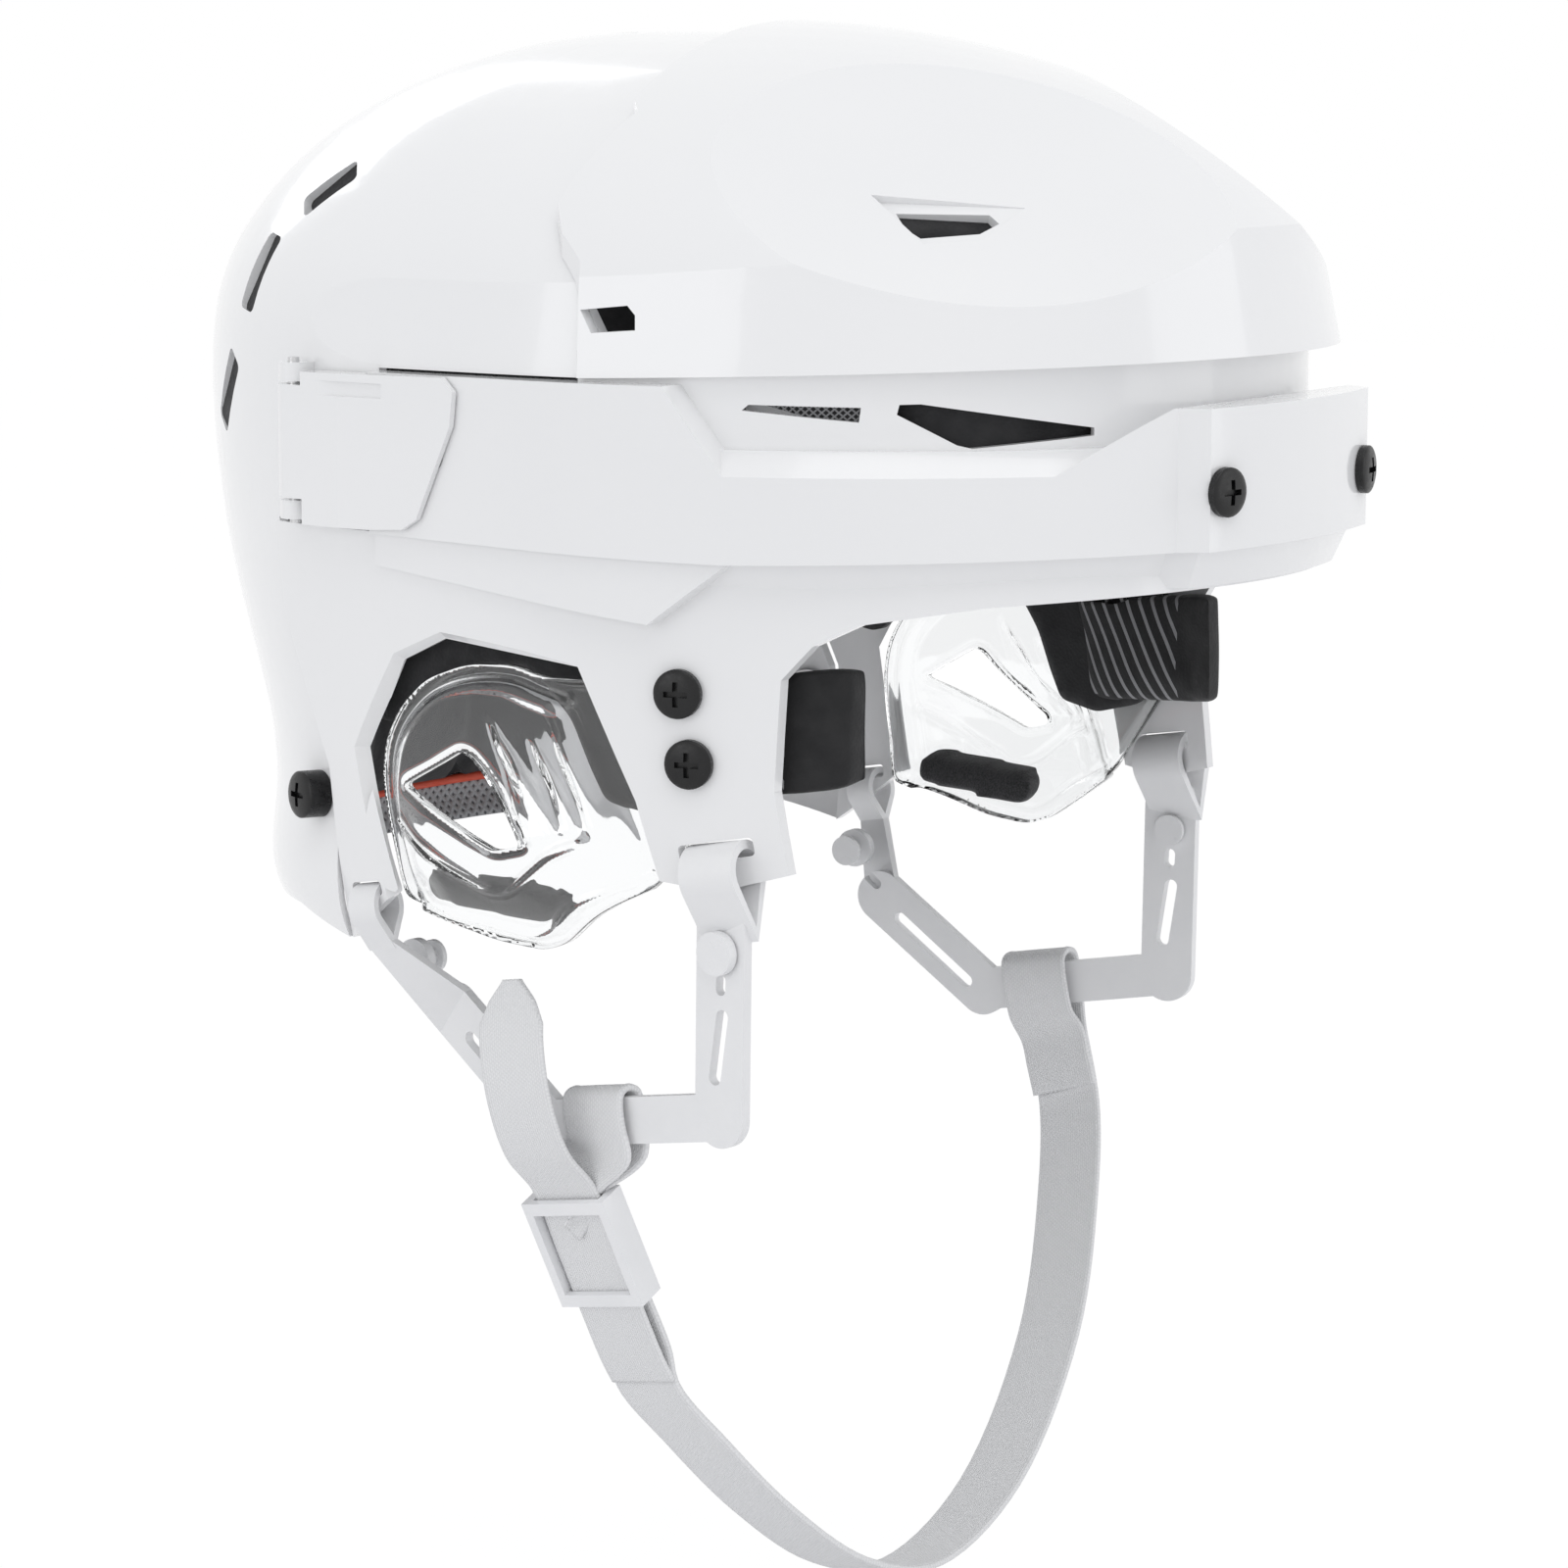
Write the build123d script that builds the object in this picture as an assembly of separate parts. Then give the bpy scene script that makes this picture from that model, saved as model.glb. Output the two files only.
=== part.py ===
from build123d import *
import math
import os

# Ice hockey helmet. Millimetres, +Z up, the wearer faces -Y, the wearer's right side is -X.
# The origin lies on the plane of symmetry, at mid length, level with the brow's lower edge.

# Overall form
half_width = 105.0
crown_base = 43.0
crown_rise = 73.0
front_centre = 4.0
rear_centre = 28.0
front_reach = 146.0
rear_reach = 105.0
skirt_drop = 128.0
wall = 2.6
rear_wall = 2.6
shell_step = 3.0
overrun = 200.0

# Rear skirt: depth below the crown base, half width and rear reach, as shares
skirt_shares = ((0.0, 1.0, 1.0), (0.22, 1.0, 0.98), (0.48, 0.99, 0.88), (0.73, 0.975, 0.79), (1.0, 0.94, 0.69))
# Heights of the crown's sections, as shares of a quarter turn
crown_turn_shares = (0.0, 0.14, 0.28, 0.42, 0.56, 0.7, 0.82, 0.91, 0.965)

# Forehead wall that trims the crown along a crease
trim_width = 105.2
trim_front = 139.0
trim_rear = 125.0
trim_lean = 0.21
crown_edge_front = 48.0
crown_edge_slope = 2.0

# Flat shoulders cut across the crown over each brow: a plane by its lean and its reach
shoulder_reach = 120.0
shoulder_turn = 45.0
shoulder_rise = 50.5

# Core of the front shell, under the brow band and down round the ears
core_width = 103.0
core_front = 133.0
core_top = 50.0
core_drop = 136.0
core_shares = ((0.0, 1.0, 0.98, 1.0), (0.31, 1.0, 1.0, 0.98), (0.59, 0.995, 1.05, 0.87),
               (0.81, 0.98, 1.09, 0.79), (1.0, 0.935, 1.13, 0.7))

# Brow band
band_width = 106.5
band_top = 43.0
band_front = 137.5
band_rear = 28.0
band_chamfer = 2.6
knee_x = 98.5
knee_y = -57.0
plate_half = 34.0
plate_step = 3.0
plate_corner_y = -130.5
side_bow_x = 105.0
side_bow_y = -33.0
side_start_y = -10.0
knee_lean_share = 0.45
quarter_bow_x = 73.0
quarter_bow_y = -99.0
band_low_front = 10.0
band_low_knee = 7.0
band_low_rear = 13.0
dip_floor = 25.0
dip_rear_y = -45.0
dip_front_y = -112.0
dip_end_y = -127.0
dip_end_z = 38.0
dip_slope = 5.0
lip_low = 0.5
lip_inset = 6.5
ledge_inset = 1.9
ledge_front_y = -40.5
ledge_front_z = -6.0
ledge_rear_y = 44.0
ledge_rear_z = 4.0

# Seam between the shells
seam_mid_y = -9.0
seam_mid_half = 25.0
seam_jog_x = 66.0
seam_jog_y = -12.0
seam_jog_step = 3.0
seam_bow_x = 91.0
seam_bow_y = -10.5
seam_side_x = 95.0
seam_side_y = -14.5
seam_low_x = 97.5
seam_low_y = -21.0
seam_end_y = -25.0
seam_gap = 0.6
tongue = 16.0
tab_length = 24.0
low_seam_z = 9.0
low_seam_y = 61.0
low_seam_top_y = 59.5
low_seam_foot_y = 45.0
low_seam_foot_z = -43.0
adjust_travel = 12.0

# Openings of the front shell
lip_side_y = -100.0
lip_side_z = -2.0
lip_end_y = -79.0
lip_end_z = -5.5
face_corner_y = -70.7
face_corner_z = -10.0
temple_top_y = -65.0
temple_top_z = -17.0
temple_waist_y = -64.0
temple_waist_z = -40.0
temple_foot_y = -66.7
temple_foot_z = -57.3
temple_low_y = -52.0
temple_low_z = -61.5
ear_front_low_y = -39.8
ear_front_low_z = -60.0
ear_front_mid_y = -35.1
ear_front_mid_z = -43.5
ear_front_top_y = -22.3
ear_front_top_z = -16.1
ear_top_y = 12.0
ear_top_z = -12.7
ear_rear_top_y = 23.5
ear_rear_top_z = -18.1
ear_rear_mid_y = 33.7
ear_rear_mid_z = -38.2
ear_rear_low_y = 26.5
ear_rear_low_z = -68.0
foot_rear_y = 42.5
foot_rear_z = -81.0
rim_bevel = 1.8
rim_lean = 5.0
rim_taper = 45.0
nape_z = -76.0

# Vents: outlines as (along, up) on a plane through each vent's middle
top_vent_middle = (-54.5, -82.5, 75.2)
top_vent_outline = ((9.9, 3.8), (-9.3, 2.05), (-10.8, -0.9), (-6.2, -3.9), (6.15, -4.5), (8.7, -1.3))
top_recess_outline = ((14.0, 8.5), (-17.4, 3.0), (-6.5, -6.2), (6.0, -6.8))
top_recess_depth = 1.3
front_vent_middle = (-60.7, -98.6, 0.0)
front_vent_turn = 43.6
front_vent_outline = ((20.7, 34.0), (20.7, 32.4), (-5.4, 30.3), (-8.5, 31.0), (-20.7, 37.3), (-20.2, 39.3),
                      (-15.9, 39.4))
side_vent_middle = (-85.6, -67.5, 0.0)
side_vent_turn = 61.8
side_vent_outline = ((12.3, 38.7), (11.9, 35.7), (-12.0, 37.9), (-10.6, 39.1))
seam_vent_outline = ((-22.9, 57.5), (-33.3, 58.6), (-35.2, 56.7), (-35.6, 53.7), (-26.0, 52.9))
rear_vent_ends = (((-78.6, 52.8, 83.9), (-81.4, 64.5, 74.8)), ((-83.9, 71.4, 69.6), (-88.4, 76.9, 53.4)),
                  ((-86.9, 81.1, 42.9), (-81.9, 90.4, 27.5)))
rear_vent_width = 7.5
rear_vent_radius = 1.5
port_depth = 9.0
port_start_x = 80.0
screen_thickness = 0.8
screen_margin = 3.0

# Fasteners
seat_gap = 0.2
head_diameter = 10.3
head_height = 1.3
head_dome = 1.1
recess_span = 5.2
recess_slot = 1.2
recess_depth = 1.3
shank_diameter = 4.4
shank_length = 9.0
hole_clearance = 0.25
brow_screw_x = 30.0
brow_screw_z = 20.8
side_screw_places = ((-44.7, -20.4), (-47.0, -34.9))
rear_stud_y = 51.5
rear_stud_z = -50.2
rear_stud_height = 5.0
nut_flange = 13.0
brow_nut_flange = 7.0
nut_flange_height = 1.4
nut_barrel = 6.6
nut_barrel_length = 5.0
nut_bore_clearance = 0.1
liner_gap = 0.4

# Size latches, their hinge pins and lock studs
hinge_x = 103.1
hinge_y = 51.0
barrel_radius = 3.4
barrel_low = 15.2
barrel_high = 39.4
pin_radius = 1.25
pin_clearance = 0.3
pin_fit = 0.1
pin_end = 1.0
lug_length = 4.0
lug_gap = 0.6
lug_radius = 3.2
lug_root_x = 98.5
latch_outer_x = 108.4
latch_inner_x = 106.9
latch_step_x = 102.5
latch_step_y = 28.9
latch_bend_y = 35.0
latch_tail_x = 101.5
latch_tail_y = 45.0
latch_front_y = 3.0
latch_lug_y = 46.0
latch_outline = ((7.1, 42.8), (4.1, 39.9), (4.9, 32.7), (14.0, 12.8), (17.9, 10.5), (27.2, 9.9))
latch_top_z = 42.3
latch_low_z = 9.8
latch_groove_y = (23.0, 42.0)
latch_groove_z = (37.7, 40.8)
latch_groove_depth = 0.7
lock_y = 11.0
lock_z = 26.0
lock_radius = 2.5
lock_slot_clearance = 0.3
lock_end_x = 106.2
lock_head_x = 99.0
lock_head_radius = 4.5
lock_head_height = 1.5

# Ear guards, ear pads and liner pads
guard_out = 3.0
guard_in = 5.0
guard_outline = ((-53.0, -12.0), (12.0, -6.0), (28.0, -12.0), (40.0, -38.0), (30.0, -66.0), (26.5, -70.1),
                 (-14.6, -77.5), (-37.0, -62.0), (-41.0, -56.0), (-53.0, -40.0))
guard_hole = ((22.0, -45.0), (3.6, -36.5), (-19.4, -54.0))
ear_pad_out = 5.2
ear_pad_in = 8.2
ear_pad_height = 9.0
ear_pad_ends = ((15.1, -65.8), (-10.3, -68.0))
temple_pad_out = 5.4
temple_pad_in = 17.0
temple_pad_outline = ((-75.0, -14.0), (-26.0, -20.0), (-33.0, -45.0), (-75.0, -41.0))
nut_room_radius = 7.0
nut_room_depth = 8.0
liner_depth = 13.0
forehead_half = 75.0
forehead_y = -60.0
forehead_low = 6.0
forehead_high = 60.0
crown_pad_inner_x = 6.0
front_crown_pad = ((70.0, 66.0), (-100.0, -36.0))
rear_crown_pad = ((84.0, 70.0), (-20.0, 70.0))
side_pad_x = 70.0
side_pad_y = (-10.0, 45.0)
side_pad_z = (47.0, 66.0)
rear_pad_x = (8.0, 90.0)
rear_pad_y = 62.0
rear_pad_z = (-20.0, 66.0)
nape_pad_half = 45.0
nape_pad_z = (-70.0, -28.0)

# Slings: both hinge on the line between the front and rear rims of the shell
front_bar = (-92.4, -52.9, -57.8)
rear_bar = (-97.1, 35.0, -73.2)
sling_aim = (-83.4, 35.0, -73.2)
front_rim_half = 3.1
rear_rim_half = 2.6
front_slot_height = 3.9
rear_slot_height = 3.2
front_slot_half = 8.0
rear_slot_half = 4.4
slot_corner = 1.0
front_loop_half = 6.5
rear_loop_half = 3.5
front_loop_bore = 4.8
front_loop_outer = 6.7
front_loop_reach = 14.5
rear_loop_bore = 3.7
rear_loop_outer = 5.3
rear_loop_reach = 9.5
loop_tip = 3.0
sling_thickness = 2.4
sling_leg = 13.0
sling_arm = 12.5
sling_bar_height = 10.0
sling_drop = 50.4
leg_top = (1.2, -10.5)
leg_low_s = 8.7
bar_rear_s = 58.2
arm_end = (82.0, -25.5)
link_overlap = 2.0
leg_slot = ((4.1, -29.5), (8.3, -42.0))
leg_hole = ((3.1, -21.9), (3.5, -23.7))
arm_slot = ((62.0, -48.0), (77.5, -31.5))
arm_hole = ((82.6, -22.3), (84.2, -20.5))
sling_slot_width = 3.2
sling_hole_width = 2.6
front_snap = (1.9, -16.0)
rear_snap = (89.0, -13.3)
snap_cap_radius = 4.6
snap_lift = 0.5
snap_cap_height = 2.2
snap_back_radius = 3.6
snap_back_height = 1.2
snap_stem_radius = 2.0

# Chin strap webbing and its sliding buckle
strap_width = 17.0
strap_thickness = 1.5
strap_bar_s = 38.5
strap_bore = 3.6
strap_outer = 5.0
strap_reach = 10.5
right_strap_lean = 2.5
left_strap_lean = -1.5
buckle_middle = (-86.0, -14.5, -143.3)
buckle_down = (0.35, -0.157, -0.923)
buckle_across = (-0.016, -0.987, 0.162)
layer_offset = 1.65
strap_top_reach = 15.0
strap_low_reach = 27.5
strap_join_reach = 34.0
chin_route = ((-65.0, -27.0, -190.0), (-49.0, -33.5, -208.0), (-26.0, -38.5, -225.0), (0.0, -41.0, -232.0),
              (32.0, -42.0, -221.0), (60.0, -40.5, -192.0), (79.0, -34.0, -163.0))
chin_sections = 14
tail_route = ((-99.4, -10.0, -121.5), (-102.2, -7.5, -110.0), (-101.4, -4.8, -98.0), (-99.2, -3.4, -89.0))
tail_tip = (-98.4, -2.9, -84.6)
tail_tip_share = 0.25
buckle_length = 26.0
buckle_window = 17.9
buckle_rail = 2.1
buckle_bar = 3.0
buckle_inner = 3.0
buckle_outer = 4.3
buckle_end_low = 2.7
buckle_mid_half = 0.6


def at_height(face, z):
    return Pos(0, 0, z) * face


def egg(a, front, rear, centre=front_centre, rear_mid=rear_centre):
    """Plan outline: half ellipses at front and rear, joined by straight sides."""
    return make_face([
        EllipticalCenterArc((0, centre), a, front, 180, arc_size=180),
        Line((a, centre), (a, rear_mid)),
        EllipticalCenterArc((0, rear_mid), a, rear, 0, arc_size=180),
        Line((-a, rear_mid), (-a, centre)),
    ])


def master_form(inset):
    """The smooth head form of crown and rear skirt, drawn in by inset."""
    a, front, rear, rise = (half_width - inset, front_reach - inset, rear_reach - inset, crown_rise - inset)
    sections = []
    for depth_share, width_share, rear_share in reversed(skirt_shares):
        sections.append(at_height(egg(a * width_share, front, rear * rear_share),
                                  crown_base - skirt_drop * depth_share))
    for turn_share in crown_turn_shares[1:]:
        turn = math.radians(90 * turn_share)
        shrink = math.cos(turn)
        sections.append(at_height(egg(a * shrink, front * shrink, rear * shrink),
                                  crown_base + rise * math.sin(turn)))
    return loft(sections)


def trim_form(inset):
    """Leaning forehead wall; where it cuts the crown it leaves the forehead crease."""
    height = crown_rise + core_top
    low = egg(trim_width - inset, trim_front - inset, trim_rear - inset)
    lean = height * trim_lean
    high = egg(trim_width - inset - lean, trim_front - inset - lean, trim_rear - inset - lean)
    return loft([at_height(low, crown_base), at_height(high, crown_base + height)], ruled=True)


def core_form(inset):
    """Front shell's lower wall, from under the crown down to the ear frames."""
    sections = []
    for depth_share, width_share, front_share, rear_share in reversed(core_shares):
        face = egg(core_width * width_share - inset, core_front * front_share - inset,
                   rear_reach * rear_share - inset)
        sections.append(at_height(face, core_top - core_drop * depth_share))
    return loft(sections)


def side_prism(points, low_x=-overrun, high_x=overrun):
    """Prism along X from an outline given as (y, z) points."""
    face = make_face(Polyline([(y, z) for y, z in points], close=True))
    return Pos(low_x, 0, 0) * extrude(Plane.YZ * face, high_x - low_x)


def slab_above(z_front, slope):
    """Half space above a plane that tips down towards the rear by slope degrees."""
    block = Pos(0, 0, overrun) * Box(4 * overrun, 4 * overrun, 2 * overrun)
    return Pos(0, -front_reach, z_front) * Rot(-slope, 0, 0) * block


def shoulder_cut(inset, side):
    """Block beyond the flat shoulder on one side (-1 right, 1 left)."""
    rise = math.radians(shoulder_rise)
    turn = math.radians(shoulder_turn)
    outward = Vector(side * math.cos(rise) * math.sin(turn), -math.cos(rise) * math.cos(turn), math.sin(rise))
    facing = Plane(origin=outward * (shoulder_reach - inset), z_dir=outward)
    return extrude(facing * Rectangle(2 * overrun, 2 * overrun), overrun)


def front_crown(inset):
    rounded = master_form(inset) & trim_form(inset)
    rounded = rounded - shoulder_cut(inset, -1) - shoulder_cut(inset, 1)
    return rounded & slab_above(crown_edge_front + inset, crown_edge_slope)


def band_plan(inset):
    """Plan outline of the brow band, with its flat plate, corners and knees, drawn in by inset."""
    slant = inset * knee_lean_share
    route = [
        ((-band_width + inset, band_rear), None),
        ((-band_width + inset, side_start_y), None),
        ((-knee_x + inset, knee_y + slant), (-side_bow_x + inset, side_bow_y)),
        ((-plate_half - plate_step + slant, plate_corner_y + plate_step + inset),
         (-quarter_bow_x + slant, quarter_bow_y + inset)),
        ((-plate_half + slant, plate_corner_y - plate_step + inset), None),
        ((plate_half - slant, plate_corner_y - plate_step + inset), (0, -band_front + inset)),
    ]
    edges = []
    start = route[0][0]
    for end, bow in route[1:]:
        edges.append(ThreePointArc(start, bow, end) if bow else Line(start, end))
        start = end
    left = [mirror(edge, Plane.YZ) for edge in edges[:-1]]
    closing = Line((-band_width + inset, band_rear), (band_width - inset, band_rear))
    return make_face(edges + left + [closing])


def band_form(inset):
    """Brow band between its slanting lower edge and its dipped upper edge."""
    upright = extrude(at_height(band_plan(inset), -overrun), 2 * overrun)
    profile = side_prism([
        (-overrun, band_low_front + inset), (knee_y, band_low_knee + inset),
        (overrun, band_low_rear + inset), (overrun, band_top - inset),
        (dip_rear_y, band_top - inset), (knee_y, dip_floor - inset),
        (dip_front_y, dip_floor - inset), (dip_end_y, dip_end_z - inset),
        (-overrun, dip_end_z - inset),
    ])
    return upright & profile


def dip_form(inset):
    """Slope from the dipped top of the band in to the wall under the brow vents."""
    low = at_height(band_plan(inset), dip_floor - inset)
    high = at_height(band_plan(dip_slope + inset), dip_floor + dip_slope - inset)
    return loft([low, high], ruled=True)


def lip_form(inset):
    """Bevelled underside of the brow, from the band's lower edge in to the lip."""
    low = at_height(band_plan(lip_inset + inset), lip_low)
    high = at_height(band_plan(band_chamfer + inset), band_low_front + inset)
    bevel = loft([low, high], ruled=True)
    keep = side_prism([(-overrun, -overrun), (ledge_front_y, -overrun), (knee_y, overrun), (-overrun, overrun)])
    return bevel & keep


def ledge_form(inset):
    """Second step under the band at each side."""
    upright = extrude(at_height(band_plan(ledge_inset + inset), -overrun), 2 * overrun)
    profile = side_prism([
        (knee_y + inset, band_low_knee + 2 * inset), (ledge_front_y + inset, ledge_front_z + inset),
        (ledge_rear_y, ledge_rear_z + inset), (ledge_rear_y, band_top - inset),
        (dip_rear_y, band_low_rear + inset),
    ])
    return upright & profile


def front_form(inset):
    walls = front_crown(inset) + core_form(inset) + band_form(inset) + dip_form(inset)
    return walls + lip_form(inset) + ledge_form(inset)


def rear_form(inset):
    """Master form with the forehead wall's trim above the crown base only."""
    below = at_height(Rectangle(4 * overrun, 4 * overrun), crown_base - 2 * overrun)
    keep = extrude(below, 2 * overrun) + trim_form(inset)
    return master_form(inset) & keep


def seam_line(shift=0.0):
    """Plan outline of everything ahead of the crown seam, moved back by shift."""
    half = [
        (seam_mid_half, seam_mid_y), (seam_jog_x, seam_jog_y),
        (seam_jog_x + seam_jog_step, seam_jog_y - seam_jog_step), (seam_bow_x, seam_bow_y),
        (seam_side_x, seam_side_y), (seam_low_x, seam_low_y), (half_width, seam_end_y), (overrun, seam_end_y),
    ]
    right = [(x, y + shift) for x, y in half]
    left = [(-x, y) for x, y in reversed(right)]
    return make_face(Polyline(right + [(overrun, -overrun), (-overrun, -overrun)] + left, close=True))


def crown_zone(shift, floor_z):
    return extrude(at_height(seam_line(shift), floor_z), 2 * overrun)


def front_zone():
    """Where the front shell lies: ahead of the crown seam, in the band, round the ears."""
    low = side_prism([
        (-overrun, -overrun), (foot_rear_y, -overrun), (foot_rear_y, foot_rear_z),
        (low_seam_foot_y, low_seam_foot_z), (low_seam_top_y, face_corner_z), (low_seam_y, low_seam_z),
        (band_rear, low_seam_z), (band_rear, band_top), (-overrun, band_top),
    ])
    return low + crown_zone(0, band_top - wall)


def rear_zone():
    """Where the rear shell lies: the visible part, the tongue under the crown and the side tabs."""
    visible = side_prism([
        (foot_rear_y + seam_gap, -overrun), (overrun, -overrun), (overrun, overrun), (-overrun, overrun),
        (-overrun, band_top + seam_gap), (band_rear + seam_gap, band_top + seam_gap),
        (band_rear + seam_gap, low_seam_z + seam_gap), (low_seam_y + seam_gap, low_seam_z + seam_gap),
        (low_seam_top_y + seam_gap, face_corner_z), (low_seam_foot_y + seam_gap, low_seam_foot_z),
        (foot_rear_y + seam_gap, foot_rear_z),
    ])
    ahead = crown_zone(seam_gap, band_top + seam_gap)
    tab_mid = (band_top + band_low_rear) / 2
    tab_half = (band_top - band_low_rear) / 2 - wall - 2 * seam_gap
    tab = side_prism([
        (band_rear - tab_length, tab_mid - tab_half), (band_rear + tongue, tab_mid - tab_half),
        (band_rear + tongue, tab_mid + tab_half), (band_rear - tab_length, tab_mid + tab_half),
    ])
    tongue_zone = crown_zone(2 * seam_gap, crown_edge_front + 2 * seam_gap) - crown_zone(-tongue, band_top)
    return (visible - ahead) + tab + tongue_zone


def face_opening():
    return side_prism([
        (-overrun, lip_low), (-band_front, lip_low), (lip_side_y, lip_side_z), (lip_end_y, lip_end_z),
        (face_corner_y, face_corner_z), (temple_top_y, temple_top_z), (temple_waist_y, temple_waist_z),
        (temple_foot_y, temple_foot_z), (temple_foot_y, -overrun), (-overrun, -overrun),
    ])


def foot_cut():
    """Everything under the temples' and ear frames' lower edges."""
    return side_prism([
        (-overrun, -overrun), (-overrun, temple_foot_z), (temple_foot_y, temple_foot_z),
        (temple_low_y, temple_low_z), (ear_front_low_y, ear_front_low_z), (ear_rear_low_y, ear_rear_low_z),
        (foot_rear_y, foot_rear_z), (overrun, foot_rear_z), (overrun, -overrun),
    ])


def ear_outline():
    return [
        (ear_front_low_y, -overrun), (ear_front_low_y, ear_front_low_z), (ear_front_mid_y, ear_front_mid_z),
        (ear_front_top_y, ear_front_top_z), (ear_top_y, ear_top_z), (ear_rear_top_y, ear_rear_top_z),
        (ear_rear_mid_y, ear_rear_mid_z), (ear_rear_low_y, ear_rear_low_z), (ear_rear_low_y, -overrun),
    ]


def ear_cut():
    return side_prism(ear_outline())


def ear_bevel():
    """Tapered plug that bevels the rim of the right ear opening; it leans with the wall."""
    lean = math.radians(rim_lean)
    outward = Vector(-math.cos(lean), 0, -math.sin(lean))
    start = Vector(-core_width, 0, ear_top_z) + outward * rim_bevel
    plane = Plane(origin=start, x_dir=(0, -1, 0), z_dir=outward)
    outline = make_face(Polyline([(-y, z - ear_top_z) for y, z in ear_outline()], close=True))
    grown = offset(outline, 2 * rim_bevel, kind=Kind.INTERSECTION)
    return extrude(plane * grown, -2 * rim_bevel, taper=rim_taper)


def port(middle, x_dir, z_dir, outline):
    """Hole through the wall, from an outline on a plane through its middle."""
    face = make_face(Polyline(list(outline), close=True))
    return extrude(Plane(origin=middle, x_dir=x_dir, z_dir=z_dir) * face, port_depth, both=True)


def wall_port(middle, turn, outline):
    """Hole along a level direction, turned from straight ahead by turn degrees."""
    angle = math.radians(turn)
    outward = (-math.sin(angle), -math.cos(angle), 0)
    rearward = (-math.cos(angle), math.sin(angle), 0)
    return port(middle, rearward, outward, [(-along, -up) for along, up in outline])


def both_sides(shape):
    return shape + mirror(shape, Plane.YZ)


def top_vent_plane():
    """Plane of the right top vent, on the flat shoulder: x forwards, y up the slope."""
    rise, turn = math.radians(shoulder_rise), math.radians(shoulder_turn)
    outward = (-math.cos(rise) * math.sin(turn), -math.cos(rise) * math.cos(turn), math.sin(rise))
    return Plane(origin=top_vent_middle, x_dir=(math.cos(turn), -math.sin(turn), 0), z_dir=outward)


def top_vents():
    """The top vents, each in a shallow wedge that is deepest along its upper edge."""
    plane = top_vent_plane()
    hole = make_face(Polyline([(-along, up) for along, up in top_vent_outline], close=True))
    low = min(up for along, up in top_recess_outline)
    high = max(up for along, up in top_recess_outline)
    tilt = math.degrees(math.atan2(top_recess_depth, high - low))
    edge = Plane(origin=plane.from_local_coords((0, low, 0)), x_dir=plane.x_dir, z_dir=plane.z_dir)
    floor = edge.rotated((-tilt, 0, 0))
    sunk = make_face(Polyline([(-along, up - low) for along, up in top_recess_outline], close=True))
    return both_sides(extrude(plane * hole, port_depth, both=True) + extrude(floor * sunk, port_depth))


def brow_vents():
    return both_sides(wall_port(front_vent_middle, front_vent_turn, front_vent_outline)
                      + wall_port(side_vent_middle, side_vent_turn, side_vent_outline))


def seam_vents():
    return both_sides(side_prism(seam_vent_outline, -overrun, -port_start_x))


def rear_vents():
    """Three upright slots down each rear quarter."""
    slots = []
    for top, low in rear_vent_ends:
        top, low = Vector(top), Vector(low)
        middle = (top + low) / 2
        outward = middle - Vector(0, rear_centre, crown_base)
        run = low - top
        face = RectangleRounded(run.length, rear_vent_width, rear_vent_radius)
        slots.append(extrude(Plane(origin=middle, x_dir=run, z_dir=run.cross(outward.cross(run))) * face,
                             port_depth, both=True))
    return both_sides(Part() + slots)


def wall_hit(form, start, direction):
    """Where a line from start leaves the form, as a plane facing along the wall's normal."""
    line = Axis(start, direction)
    point, normal = max(form.find_intersection_points(line),
                        key=lambda hit: (hit[0] - line.position).dot(line.direction))
    if normal.dot(line.direction) < 0:
        normal = -normal
    return Plane(origin=point, z_dir=normal)


def side_screw_seats():
    form = core_form(0)
    return [wall_hit(form, (0, y, z), (-1, 0, 0)) for y, z in side_screw_places]


def brow_screw_seat():
    return wall_hit(band_form(0), (-brow_screw_x, 0, brow_screw_z), (0, -1, 0))


def stud_seat():
    return wall_hit(rear_form(shell_step), (0, rear_stud_y, rear_stud_z), (-1, 0, 0))


def shank_hole(seat):
    return seat * Cylinder(shank_diameter / 2 + hole_clearance, 2 * shank_length)


def screw(seat, height):
    """Dome-headed screw with a cross recess, standing on its seat plane."""
    half = head_diameter / 2
    profile = make_face([
        Line((0, 0), (half, 0)), Line((half, 0), (half, height)),
        EllipticalCenterArc((0, height), half, head_dome, 0, arc_size=90),
        Line((0, height + head_dome), (0, 0)),
    ])
    head = revolve(Plane.XZ * profile, Axis.Z)
    cross = Box(recess_span, recess_slot, 2 * recess_depth) + Box(recess_slot, recess_span, 2 * recess_depth)
    body = head - at_height(cross, height + head_dome)
    reach = shank_length + seat_gap
    body = body + at_height(Cylinder(shank_diameter / 2, reach), -reach / 2)
    return seat * at_height(body, seat_gap)


def nut(seat, depth, flange_width=nut_flange):
    """Flanged barrel nut under the wall, its flange depth below the seat."""
    flange = at_height(Cylinder(flange_width / 2, nut_flange_height), -nut_flange_height / 2)
    barrel = at_height(Cylinder(nut_barrel / 2, nut_barrel_length), -nut_flange_height - nut_barrel_length / 2)
    bore = Cylinder(shank_diameter / 2 + nut_bore_clearance, 4 * shank_length)
    return seat * at_height(flange + barrel - bore, -depth)


def front_shell():
    hollow = front_form(0) - front_form(wall)
    shell = (hollow & front_zone()) - face_opening() - foot_cut() - ear_cut()
    shell = shell - top_vents() - brow_vents() - seam_vents()
    shell = shell - both_sides(lock_slot()) - both_sides(sling_slots()) - both_sides(ear_bevel())
    for seat in side_screw_seats() + [brow_screw_seat()]:
        shell = shell - both_sides(shank_hole(seat))
    return shell


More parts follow.
